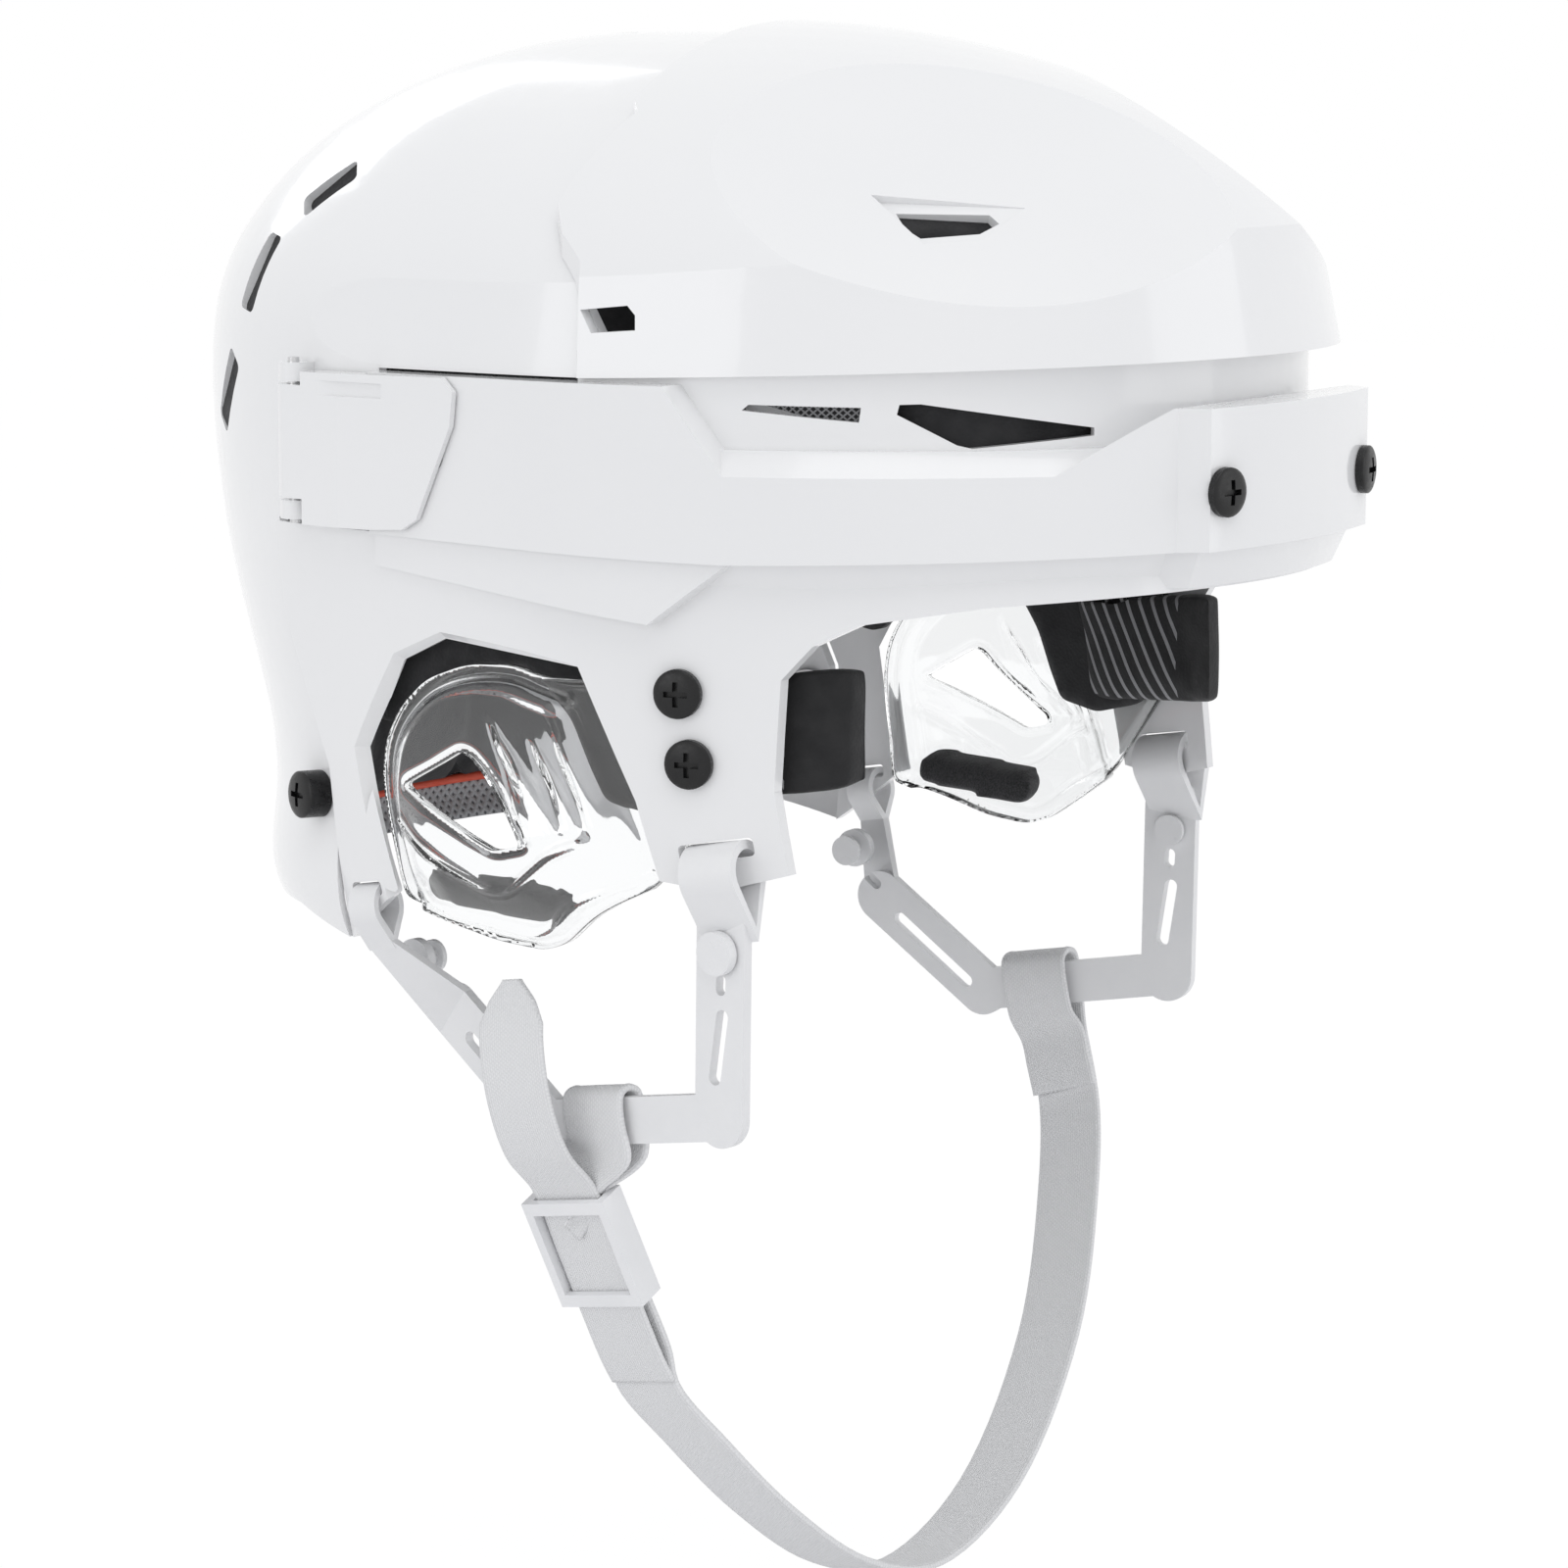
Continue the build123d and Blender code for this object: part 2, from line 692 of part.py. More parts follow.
def rear_shell():
    hollow = rear_form(shell_step) - rear_form(shell_step + rear_wall)
    nape = side_prism([
        (-overrun, -overrun), (foot_rear_y, foot_rear_z), (low_seam_y, nape_z), (overrun, nape_z),
        (overrun, -overrun),
    ])
    shell = (hollow & rear_zone()) - nape
    shell = shell - rear_vents() - seam_vents() - both_sides(shank_hole(stud_seat()))
    return shell + both_sides(latch_lugs()) - both_sides(lock_hole())


def lock_slot():
    """Slot in the band wall that lets the lock stud travel with the rear shell."""
    width = 2 * (lock_radius + lock_slot_clearance)
    slot = SlotOverall(adjust_travel + width, width)
    middle = (-band_width, lock_y + adjust_travel / 2, lock_z)
    return extrude(Plane(origin=middle, x_dir=(0, 1, 0), z_dir=(1, 0, 0)) * slot, 2 * wall, both=True)


def along_x(start_x, end_x, y, z, radius):
    """Cylinder along X between two distances on the wearer's right."""
    turned = Plane(origin=(-start_x, y, z), z_dir=(-1, 0, 0))
    return extrude(turned * Circle(radius), end_x - start_x)


def lock_hole():
    return along_x(lock_head_x - lock_head_height, lock_end_x, lock_y, lock_z, lock_radius + pin_fit)


def lock_stud():
    head = along_x(lock_head_x - lock_head_height, lock_head_x, lock_y, lock_z, lock_head_radius)
    return head + along_x(lock_head_x - lock_head_height, lock_end_x, lock_y, lock_z, lock_radius)


def lug(low):
    """One hinge lug on the rear shell, round about the pin."""
    reach = hinge_x - lug_root_x
    face = Circle(lug_radius) + Pos(reach / 2, 0) * Rectangle(reach, 2 * lug_radius)
    block = extrude(Pos(-hinge_x, hinge_y, low) * face, lug_length)
    return block - Pos(-hinge_x, hinge_y, low) * Cylinder(pin_radius + pin_fit, 4 * lug_length)


def latch_lugs():
    return lug(barrel_low - lug_gap - lug_length) + lug(barrel_high + lug_gap)


def latch_pin():
    low = barrel_low - lug_gap - lug_length - pin_end
    high = barrel_high + lug_gap + lug_length + pin_end
    return extrude(Pos(-hinge_x, hinge_y, low) * Circle(pin_radius), high - low)


def latch():
    """Side latch: plate over the band, hinged on a barrel at its rear end."""
    plan = make_face(Polyline([
        (-latch_outer_x, latch_front_y), (-latch_outer_x, latch_bend_y), (-hinge_x - barrel_radius, hinge_y),
        (-hinge_x, hinge_y), (-latch_tail_x, latch_tail_y), (-latch_step_x, latch_bend_y),
        (-latch_step_x, latch_step_y), (-latch_inner_x, latch_step_y), (-latch_inner_x, latch_front_y),
    ], close=True))
    plate = extrude(at_height(plan, -overrun), 2 * overrun)
    outline = side_prism(list(latch_outline) + [
        (latch_lug_y, latch_low_z), (latch_lug_y, barrel_low), (overrun, barrel_low), (overrun, barrel_high),
        (latch_lug_y, barrel_high), (latch_lug_y, latch_top_z),
    ])
    barrel = extrude(Pos(-hinge_x, hinge_y, barrel_low) * Circle(barrel_radius), barrel_high - barrel_low)
    bore = Pos(-hinge_x, hinge_y, 0) * Cylinder(pin_radius + pin_clearance, overrun)
    groove = block((-overrun, -latch_outer_x + latch_groove_depth), latch_groove_y, latch_groove_z)
    return (plate & outline) + barrel - bore - groove


def ear_guard():
    sheet = (core_form(guard_out) - core_form(guard_in)) & side_prism(guard_outline, -overrun, 0)
    sheet = sheet - side_prism(guard_hole)
    for seat in side_screw_seats():
        sheet = sheet - shank_hole(seat)
    return sheet


def ear_pad():
    start, end = (Vector(0, *place) for place in ear_pad_ends)
    run = end - start
    stadium = SlotCenterToCenter(run.length, ear_pad_height)
    bar = extrude(Plane(origin=(start + end) / 2, x_dir=run, z_dir=(-1, 0, 0)) * stadium, overrun)
    return (core_form(ear_pad_out) - core_form(ear_pad_in)) & bar


def block(x_range, y_range, z_range):
    """Box between two values along each axis."""
    (x0, x1), (y0, y1), (z0, z1) = (sorted(pair) for pair in (x_range, y_range, z_range))
    return Pos((x0 + x1) / 2, (y0 + y1) / 2, (z0 + z1) / 2) * Box(x1 - x0, y1 - y0, z1 - z0)


def nut_room(seat):
    """Room left round a nut behind a pad."""
    return seat * at_height(Cylinder(nut_room_radius, 2 * nut_room_depth), -guard_in - seat_gap)


def temple_pad():
    pad = (core_form(temple_pad_out) - core_form(temple_pad_in)) & side_prism(temple_pad_outline, -overrun, 0)
    for seat in side_screw_seats():
        pad = pad - nut_room(seat)
    return pad


def front_liner():
    """Space between the front shell and the head."""
    outer = core_form(wall + liner_gap) + front_crown(wall + liner_gap)
    inner = core_form(liner_depth) + front_crown(liner_depth)
    return outer - inner


def rear_liner():
    depth = shell_step + rear_wall + liner_gap
    return rear_form(depth) - rear_form(shell_step + liner_depth)


def forehead_pad(liner):
    return liner & block((-forehead_half, forehead_half), (-overrun, forehead_y), (forehead_low, forehead_high))


def crown_pad(liner, reach, y_range):
    x_high, z_low = reach
    return liner & block((-x_high, -crown_pad_inner_x), y_range, (z_low, overrun))


def side_pad(liner):
    return liner & block((-overrun, -side_pad_x), side_pad_y, side_pad_z)


def rear_pad(liner):
    near, far = rear_pad_x
    return liner & block((-far, -near), (rear_pad_y, overrun), rear_pad_z)


def nape_pad(liner):
    return liner & block((-nape_pad_half, nape_pad_half), (rear_pad_y, overrun), nape_pad_z)


def vent_screens():
    """Dark mesh panels behind the side vents."""
    sheet = core_form(wall + liner_gap) - core_form(wall + liner_gap + screen_thickness)
    middle = side_vent_mid_z()
    grown = [(along + math.copysign(screen_margin, along), up + math.copysign(screen_margin, up - middle))
             for along, up in side_vent_outline]
    return both_sides(sheet & wall_port(side_vent_middle, side_vent_turn, grown))


def side_vent_mid_z():
    return sum(up for along, up in side_vent_outline) / len(side_vent_outline)


def upright_plane(start, aim):
    """Upright plane from start towards aim: x along it, y up, z inwards to the head."""
    along = (Vector(aim) - Vector(start)).normalized()
    return Plane(origin=start, x_dir=along, z_dir=along.cross(Vector(0, 0, 1)))


def hinge_plane():
    """Plane through the two rims that the right sling hangs from; its x is the hinge line."""
    return upright_plane(front_bar, rear_bar)


def sling_plane():
    """Plane of the right sling's leg, bar and arm, which run inwards to the rear."""
    return upright_plane(front_bar, sling_aim)


def rear_bar_s():
    return (Vector(rear_bar) - Vector(front_bar)).length


def across_line(s):
    """Plane square to the sling's hinge line at distance s: x inwards, y up."""
    plane = hinge_plane()
    return Plane(origin=plane.origin + plane.x_dir * s, x_dir=plane.z_dir, z_dir=-plane.x_dir)


def sling_slots():
    """Slots over the two rims, and notches that leave the rims even under them."""
    cuts = Part()
    for s, rim, height, half in ((0, front_rim_half, front_slot_height, front_slot_half),
                                 (rear_bar_s(), rear_rim_half, rear_slot_height, rear_slot_half)):
        above = Pos(s, rim + height / 2) * RectangleRounded(2 * half, height, slot_corner)
        below = Pos(s, -rim - height) * Rectangle(2 * half, 2 * height)
        cuts = cuts + extrude(hinge_plane() * (above + below), port_depth, both=True)
    return cuts


def teardrop(radius, reach):
    """Circle drawn out to a point at reach below its centre."""
    turn = math.acos(radius / reach)
    side, low = radius * math.sin(turn), radius * math.cos(turn)
    return Circle(radius) + make_face(Polyline([(side, -low), (-side, -low), (0, -reach)], close=True))


def sling_loop(s, outer, bore, reach, half):
    face = teardrop(outer, reach) - teardrop(bore, reach - loop_tip)
    return extrude(across_line(s) * face, half, both=True)


def between(start, end, width):
    """Round-ended strip between two points of the sling's plane."""
    a, b = Vector(*start), Vector(*end)
    run = b - a
    turn = math.degrees(math.atan2(run.Y, run.X))
    mid = (a + b) / 2
    return Pos(mid.X, mid.Y) * Rot(0, 0, turn) * SlotCenterToCenter(run.length, width)


def sling_link():
    """End of the arm, turned outwards to the loop on the rear rim."""
    plane, hinge = sling_plane(), hinge_plane()
    run = (Vector(*arm_end) - Vector(bar_rear_s, -sling_drop)).normalized()
    across = plane.y_dir * run.X - plane.x_dir * run.Y
    low = plane.from_local_coords((*arm_end, 0))
    high = Vector(rear_bar) - hinge.y_dir * (rear_loop_reach - link_overlap)
    back = (plane.x_dir * run.X + plane.y_dir * run.Y) * link_overlap
    return ribbon([(low - back, across, plane.z_dir, sling_arm), (low, across, plane.z_dir, sling_arm),
                   (high, -hinge.x_dir, hinge.z_dir, 2 * rear_loop_half)], sling_thickness)


def sling():
    """Right sling: two loops over the shell's rims, a leg, an arm and the bar between them."""
    rear = rear_bar_s()
    face = between(leg_top, (leg_low_s, -sling_drop), sling_leg)
    face = face + between((leg_low_s, -sling_drop), (bar_rear_s, -sling_drop), sling_bar_height)
    face = face + between((bar_rear_s, -sling_drop), arm_end, sling_arm)
    face = face - between(*leg_slot, sling_slot_width) - between(*arm_slot, sling_slot_width)
    face = face - between(*leg_hole, sling_hole_width) - between(*arm_hole, sling_hole_width)
    plate = extrude(sling_plane() * face, sling_thickness / 2, both=True)
    room = extrude(across_line(0) * Circle(front_loop_outer), sling_leg, both=True)
    room = room + extrude(across_line(rear) * Circle(rear_loop_outer), sling_leg, both=True)
    loops = sling_loop(0, front_loop_outer, front_loop_bore, front_loop_reach, front_loop_half)
    loops = loops + sling_loop(rear, rear_loop_outer, rear_loop_bore, rear_loop_reach, rear_loop_half)
    stems = Part()
    for place in (front_snap, rear_snap):
        hole = Pos(*place) * Circle(snap_stem_radius + seat_gap)
        stems = stems + extrude(sling_plane() * hole, port_depth, both=True)
    return (plate + sling_link() - room) + loops - stems


def sling_snaps():
    """The two snap studs of one sling, each a domed cap, a stem and a back cap."""
    outer = sling_thickness / 2 + snap_lift
    snaps = []
    for place in (front_snap, rear_snap):
        cap = Pos(*place, -outer - snap_cap_height) * extrude(Circle(snap_cap_radius), snap_cap_height)
        back = Pos(*place, outer) * extrude(Circle(snap_back_radius), snap_back_height)
        stem = Pos(*place, -outer) * extrude(Circle(snap_stem_radius), 2 * outer)
        snaps.append(sling_plane() * (cap + back + stem))
    return Compound(snaps)


def ribbon(sections, thickness):
    """Strip of webbing through (point, across, normal, width) sections."""
    faces = []
    for point, across, normal, width in sections:
        plane = Plane(origin=point, x_dir=across, z_dir=across.cross(normal))
        faces.append(plane * Rectangle(width, thickness))
    return loft(faces, ruled=True)


def strap_bar_point():
    """Middle of the right sling's bar where the chin strap hangs."""
    plane = sling_plane()
    return plane.origin + plane.x_dir * strap_bar_s - plane.y_dir * sling_drop


def strap_end(lean):
    """Where the loop round the right bar closes under it, leaning along the bar."""
    plane = sling_plane()
    return strap_bar_point() + plane.x_dir * lean - plane.y_dir * strap_reach


def strap_loop(end):
    """Loop of webbing round the right sling's flat bar, drawn together under it at end."""
    sling_axes = sling_plane()
    along, up = sling_axes.x_dir, sling_axes.y_dir
    bar = strap_bar_point()
    span = sling_bar_height - sling_thickness
    low = bar - up * span / 2

    def wedge(half_top, half_low, reach_share):
        """Skewed block of webbing from the bar's lower edge towards the end."""
        top_face = Plane(origin=low, x_dir=along, z_dir=up) * Rectangle(strap_width, 2 * half_top)
        low_face = Plane(origin=low + (end - low) * reach_share, x_dir=along, z_dir=up) * Rectangle(
            strap_width, 2 * half_low)
        return loft([top_face, low_face], ruled=True)

    section = Plane(origin=bar, x_dir=up, z_dir=along)
    solid = extrude(section * SlotCenterToCenter(span, 2 * strap_outer), strap_width / 2, both=True)
    solid = solid + wedge(strap_outer, strap_thickness, 1.0)
    hollow = extrude(section * SlotCenterToCenter(span, 2 * strap_bore), strap_width, both=True)
    hollow = hollow + wedge(strap_bore, seat_gap, 1.0 - strap_thickness / (end - low).length)
    return solid - hollow


def buckle_frame():
    """Middle of the buckle's webbing and its down, across and outward directions."""
    down, across = Vector(buckle_down).normalized(), Vector(buckle_across).normalized()
    return Vector(buckle_middle), down, across, down.cross(across).normalized()


def chin_strap():
    """Webbing from the right sling's bar, through the buckle, under the chin, to the left bar."""
    middle, down, across, outward = buckle_frame()
    right_end, far_end = strap_end(right_strap_lean), strap_end(left_strap_lean)
    left_end = Vector(-far_end.X, far_end.Y, far_end.Z)
    top = middle - down * strap_top_reach - outward * layer_offset
    low = middle + down * strap_low_reach - outward * layer_offset
    join = middle + down * strap_join_reach
    route = [Vector(place) for place in chin_route]
    path = Spline([join] + route + [left_end])
    sections = [(point, across, outward, strap_width) for point in (right_end, top, low)]
    for step in range(chin_sections + 1):
        share = step / chin_sections
        normal = (path % share).cross(across).normalized()
        sections.append((path @ share, across, normal, strap_width))
    strap = ribbon(sections, strap_thickness) + strap_loop(right_end) + left(strap_loop(far_end))
    return strap + strap_tail()


def strap_tail():
    """Second layer through the buckle, running up past it to a pointed free end."""
    middle, down, across, outward = buckle_frame()
    join = middle + down * strap_join_reach + outward * strap_thickness / 2
    low = middle + down * strap_low_reach + outward * layer_offset
    top = middle - down * strap_top_reach + outward * layer_offset
    points = [join, low, top] + [Vector(place) for place in tail_route]
    sections = [(point, across, outward, strap_width) for point in points]
    sections.append((Vector(tail_tip), across, outward, strap_width * tail_tip_share))
    return ribbon(sections, strap_thickness)


def strap_buckle():
    """Three-bar slide: side rails, end bars over the webbing and a middle bar between its layers."""
    middle, down, across, outward = buckle_frame()
    plane = Plane(origin=middle, x_dir=across, z_dir=outward)
    rail_middle = (buckle_window + buckle_rail) / 2
    wide = buckle_window + 2 * buckle_rail
    rails = [block((side * rail_middle - buckle_rail / 2, side * rail_middle + buckle_rail / 2),
                   (-buckle_length / 2, buckle_length / 2), (-buckle_inner, buckle_outer)) for side in (-1, 1)]
    ends = [block((-wide / 2, wide / 2), (side * buckle_length / 2, side * (buckle_length / 2 - buckle_bar)),
                  (buckle_end_low, buckle_outer)) for side in (-1, 1)]
    mid = block((-wide / 2, wide / 2), (-buckle_bar / 2, buckle_bar / 2), (-buckle_mid_half, buckle_mid_half))
    return plane * (Part() + rails + ends + mid)


def left(shape):
    return mirror(shape, Plane.YZ)


def all_parts():
    """Every node of the assembly by name."""
    side_seats, brow_seat, rear_seat = side_screw_seats(), brow_screw_seat(), stud_seat()
    front_space, rear_space = front_liner(), rear_liner()
    parts = {
        "front_shell": front_shell(),
        "rear_shell": rear_shell(),
        "vent_screens": vent_screens(),
        "forehead_pad": forehead_pad(front_space),
        "nape_pad": nape_pad(rear_space),
        "chin_strap": chin_strap(),
        "strap_buckle": strap_buckle(),
    }
    sided = {
        "latch": latch(), "latch_pin": latch_pin(), "lock_stud": lock_stud(), "ear_guard": ear_guard(),
        "ear_pad": ear_pad(), "temple_pad": temple_pad(), "sling": sling(), "sling_snaps": sling_snaps(),
        "front_crown_pad": crown_pad(front_space, *front_crown_pad),
        "rear_crown_pad": crown_pad(rear_space, *rear_crown_pad),
        "side_pad": side_pad(rear_space), "rear_pad": rear_pad(rear_space),
    }
    for name, shape in sided.items():
        parts["right_" + name] = shape
        parts["left_" + name] = left(shape)
    grouped = {
        "brow_screws": [screw(brow_seat, head_height)],
        "side_screws": [screw(seat, head_height) for seat in side_seats],
        "rear_studs": [screw(rear_seat, rear_stud_height)],
        "brow_nuts": [nut(brow_seat, wall + liner_gap, brow_nut_flange)],
        "side_nuts": [nut(seat, guard_in + liner_gap) for seat in side_seats],
        "stud_nuts": [nut(rear_seat, rear_wall + liner_gap)],
    }
    for name, solids in grouped.items():
        parts[name] = Compound([solid for right in solids for solid in (right, left(right))])
    return parts


os.makedirs("parts", exist_ok=True)
for part_name, part_shape in all_parts().items():
    export_step(part_shape, "parts/%s.step" % part_name)
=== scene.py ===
import math

import bpy
import bmesh
import mathutils.geometry
import numpy as np
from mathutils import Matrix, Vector
from mathutils.bvhtree import BVHTree


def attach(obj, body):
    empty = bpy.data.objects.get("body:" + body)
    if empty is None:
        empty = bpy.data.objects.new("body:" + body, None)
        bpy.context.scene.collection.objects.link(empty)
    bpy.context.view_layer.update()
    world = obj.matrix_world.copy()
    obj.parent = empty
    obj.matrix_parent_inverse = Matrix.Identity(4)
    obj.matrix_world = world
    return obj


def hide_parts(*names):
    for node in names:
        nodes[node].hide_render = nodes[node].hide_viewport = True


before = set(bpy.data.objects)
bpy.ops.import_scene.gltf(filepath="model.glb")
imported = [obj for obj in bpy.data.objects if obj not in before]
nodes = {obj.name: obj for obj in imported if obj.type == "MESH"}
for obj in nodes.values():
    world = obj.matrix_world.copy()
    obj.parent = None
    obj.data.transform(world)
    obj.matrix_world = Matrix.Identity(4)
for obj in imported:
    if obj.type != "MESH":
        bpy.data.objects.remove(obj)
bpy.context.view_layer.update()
scene = bpy.context.scene

MM = 0.001  # one millimetre in metres
PER_METRE = 1000.0  # millimetres in one metre
SIDES = (("right", -1), ("left", 1))  # the sign is that of x
# Factors that turn a place on the right side into one on either side
FROM_RIGHT = {"right": np.array([1, 1, 1]), "left": np.array([-1, 1, 1])}


# ---- camera at the photograph's angle ----
AZIMUTH, ELEVATION = math.radians(-55.0), math.radians(9.14)
CAMERA_DISTANCE, CAMERA_AIM = 1.120, Vector((0, 0.011, -0.057))
CAMERA_LENS, CAMERA_SENSOR, CAMERA_SHIFT = 112.5, 36.0, 0.0375
CAMERA_CLIP = (0.05, 20.0)


def place_camera():
    back = Vector((math.sin(AZIMUTH) * math.cos(ELEVATION),
                   -math.cos(AZIMUTH) * math.cos(ELEVATION), math.sin(ELEVATION)))
    data = bpy.data.cameras.new("camera")
    data.lens, data.sensor_width, data.shift_x = CAMERA_LENS, CAMERA_SENSOR, CAMERA_SHIFT
    data.clip_start, data.clip_end = CAMERA_CLIP
    camera = bpy.data.objects.new("camera", data)
    camera.location = back * CAMERA_DISTANCE + CAMERA_AIM
    camera.rotation_euler = back.to_track_quat("Z", "Y").to_euler()
    scene.collection.objects.link(camera)
    scene.camera = camera


place_camera()
scene.view_settings.view_transform = "Standard"


# ---- materials ----
NOISE_SPAN = (0.3, 0.7)  # where most values of a noise texture lie
MOTTLE_SPAN = (0.35, 0.65)  # a narrower part of it, for soft patches of colour


class Shader:
    """A material with a Principled surface and short helpers for its node tree."""

    def __init__(self, name, **values):
        self.mat = bpy.data.materials.new(name)
        self.mat.use_nodes = True
        self.tree = self.mat.node_tree
        self.bsdf = self.tree.nodes["Principled BSDF"]
        for key, value in values.items():
            self.bsdf.inputs[key.replace("_", " ")].default_value = value
        self.places = self.node("ShaderNodeTexCoord")

    def node(self, kind, **values):
        made = self.tree.nodes.new(kind)
        for key, value in values.items():
            setattr(made, key, value)
        return made

    def link(self, source, target):
        self.tree.links.new(source, target)

    def axes(self, names, source="Object"):
        """The named axes of the place on the surface."""
        split = self.node("ShaderNodeSeparateXYZ")
        self.link(self.places.outputs[source], split.inputs["Vector"])
        return [split.outputs[name] for name in names]

    def noise(self, scale, detail=3.0, rough=0.5):
        texture = self.node("ShaderNodeTexNoise")
        texture.inputs["Scale"].default_value = scale
        texture.inputs["Detail"].default_value = detail
        texture.inputs["Roughness"].default_value = rough
        self.link(self.places.outputs["Object"], texture.inputs["Vector"])
        return texture.outputs["Fac"]

    def ramp(self, value, span, low=0.0, high=1.0):
        made = self.node("ShaderNodeMapRange")
        made.inputs["From Min"].default_value, made.inputs["From Max"].default_value = span
        made.inputs["To Min"].default_value, made.inputs["To Max"].default_value = low, high
        self.link(value, made.inputs["Value"])
        return made.outputs["Result"]

    def math(self, kind, *values):
        made = self.node("ShaderNodeMath", operation=kind)
        for index, value in enumerate(values):
            if isinstance(value, (int, float)):
                made.inputs[index].default_value = value
            else:
                self.link(value, made.inputs[index])
        return made.outputs[0]

    def diagonal_waves(self, first, second, turns):
        """Two sine waves that cross the two axes at 45 degrees."""
        return [self.math("SINE", self.math("MULTIPLY", self.math(kind, first, second), turns))
                for kind in ("ADD", "SUBTRACT")]

    def color(self, share, dark, light):
        made = self.node("ShaderNodeMix", data_type="RGBA")
        made.inputs["A"].default_value = (*dark, 1)
        made.inputs["B"].default_value = (*light, 1)
        self.link(share, made.inputs["Factor"])
        self.link(made.outputs["Result"], self.bsdf.inputs["Base Color"])

    def rough(self, low, high, scale, detail=3.0, span=NOISE_SPAN):
        self.link(self.ramp(self.noise(scale, detail), span, low, high),
                  self.bsdf.inputs["Roughness"])

    def bump(self, source, distance, strength):
        made = self.node("ShaderNodeBump")
        made.inputs["Distance"].default_value = distance
        made.inputs["Strength"].default_value = strength
        self.link(source, made.inputs["Height"])
        last = self.bsdf.inputs["Normal"].links
        if last:
            self.link(last[0].from_socket, made.inputs["Normal"])
        self.link(made.outputs["Normal"], self.bsdf.inputs["Normal"])


def shell_material():
    s = Shader("shell_white_gloss", IOR=1.5, Coat_Weight=0.6, Coat_Roughness=0.04)
    s.color(s.ramp(s.noise(9.0, 2.0), MOTTLE_SPAN), (0.87, 0.872, 0.877), (0.89, 0.89, 0.893))
    s.rough(0.13, 0.2, scale=140.0, detail=4.0)
    s.bump(s.noise(26.0, 1.0), distance=0.00025, strength=0.12)
    return s.mat


def plastic_material(name, dark, light, smooth, rough):
    s = Shader(name, IOR=1.48)
    s.color(s.ramp(s.noise(60.0), MOTTLE_SPAN), dark, light)
    s.rough(smooth, rough, scale=220.0, detail=4.0)
    s.bump(s.noise(900.0, 2.0), distance=0.00008, strength=0.5)
    return s.mat


def metal_material(name, dark, light, smooth, rough):
    s = Shader(name, Metallic=1.0)
    s.color(s.noise(400.0, 5.0), dark, light)
    s.rough(smooth, rough, scale=700.0, detail=4.0)
    s.bump(s.noise(1800.0, 3.0), distance=0.00002, strength=0.5)
    return s.mat


def screw_material():
    s = Shader("screw_black_oxide", Specular_IOR_Level=0.35)
    s.color(s.noise(500.0, 5.0), (0.003, 0.003, 0.0035), (0.012, 0.012, 0.013))
    s.rough(0.22, 0.42, scale=900.0, detail=4.0)
    s.bump(s.noise(1500.0, 3.0), distance=0.00003, strength=0.6)
    return s.mat


def guard_material():
    s = Shader("guard_polycarbonate", IOR=1.5, Transmission_Weight=1.0, Coat_Weight=0.2)
    s.color(s.noise(20.0, 2.0), (0.93, 0.945, 0.95), (0.98, 0.985, 0.99))
    s.rough(0.01, 0.07, scale=300.0, detail=5.0, span=(0.5, 0.8))
    s.bump(s.noise(35.0, 1.0), distance=0.0003, strength=0.15)
    return s.mat


def felt_material():
    s = Shader("felt_charcoal", Sheen_Weight=0.35, Sheen_Roughness=0.5, Specular_IOR_Level=0.1)
    speck = s.ramp(s.noise(2600.0, 6.0, 0.7), (0.35, 0.7))
    s.color(speck, (0.012, 0.012, 0.013), (0.09, 0.09, 0.094))
    s.rough(0.85, 1.0, scale=300.0)
    s.bump(s.noise(1500.0, 6.0, 0.75), distance=0.0004, strength=0.9)
    return s.mat


def foam_shader(name):
    """Foam with fine cells and a soft unevenness, still without its colour."""
    s = Shader(name, Sheen_Weight=0.12, Sheen_Roughness=0.6, Specular_IOR_Level=0.25)
    cells = s.node("ShaderNodeTexVoronoi", feature="F1")
    cells.inputs["Scale"].default_value = 1300.0
    s.link(s.places.outputs["Object"], cells.inputs["Vector"])
    s.rough(0.62, 0.86, scale=200.0)
    s.bump(cells.outputs["Distance"], distance=0.00012, strength=0.5)
    s.bump(s.noise(90.0), distance=0.0004, strength=0.3)
    return s


def foam_material():
    s = foam_shader("foam_black")
    s.color(s.noise(120.0, 4.0), (0.008, 0.008, 0.009), (0.028, 0.028, 0.03))
    return s.mat


STRIPE_ACROSS = (0.857, -0.516)  # direction across the stripes, in y and z
STRIPE_PITCH, STRIPE_SPAN = 0.0035, (0.38, 0.66)  # a stripe fills this span of each pitch
STRIPE_BACK, STRIPE_FRONT, STRIPE_LOW = -0.0305, -0.0625, -0.0425  # y, y and z of the printed field


def striped_foam_material():
    """Black foam printed with slanting grey stripes."""
    s = foam_shader("foam_striped")
    y, z = s.axes("YZ")
    slant = s.math("ADD", s.math("MULTIPLY", y, STRIPE_ACROSS[0]),
                   s.math("MULTIPLY", z, STRIPE_ACROSS[1]))
    wave = s.math("FRACT", s.math("DIVIDE", slant, STRIPE_PITCH))
    stripe = s.math("MULTIPLY", s.math("GREATER_THAN", wave, STRIPE_SPAN[0]),
                    s.math("LESS_THAN", wave, STRIPE_SPAN[1]))
    field = s.math("MULTIPLY", s.math("GREATER_THAN", y, STRIPE_FRONT),
                   s.math("LESS_THAN", y, STRIPE_BACK))
    field = s.math("MULTIPLY", field, s.math("GREATER_THAN", z, STRIPE_LOW))
    s.color(s.math("MULTIPLY", stripe, field), (0.014, 0.014, 0.015), (0.3, 0.3, 0.31))
    return s.mat


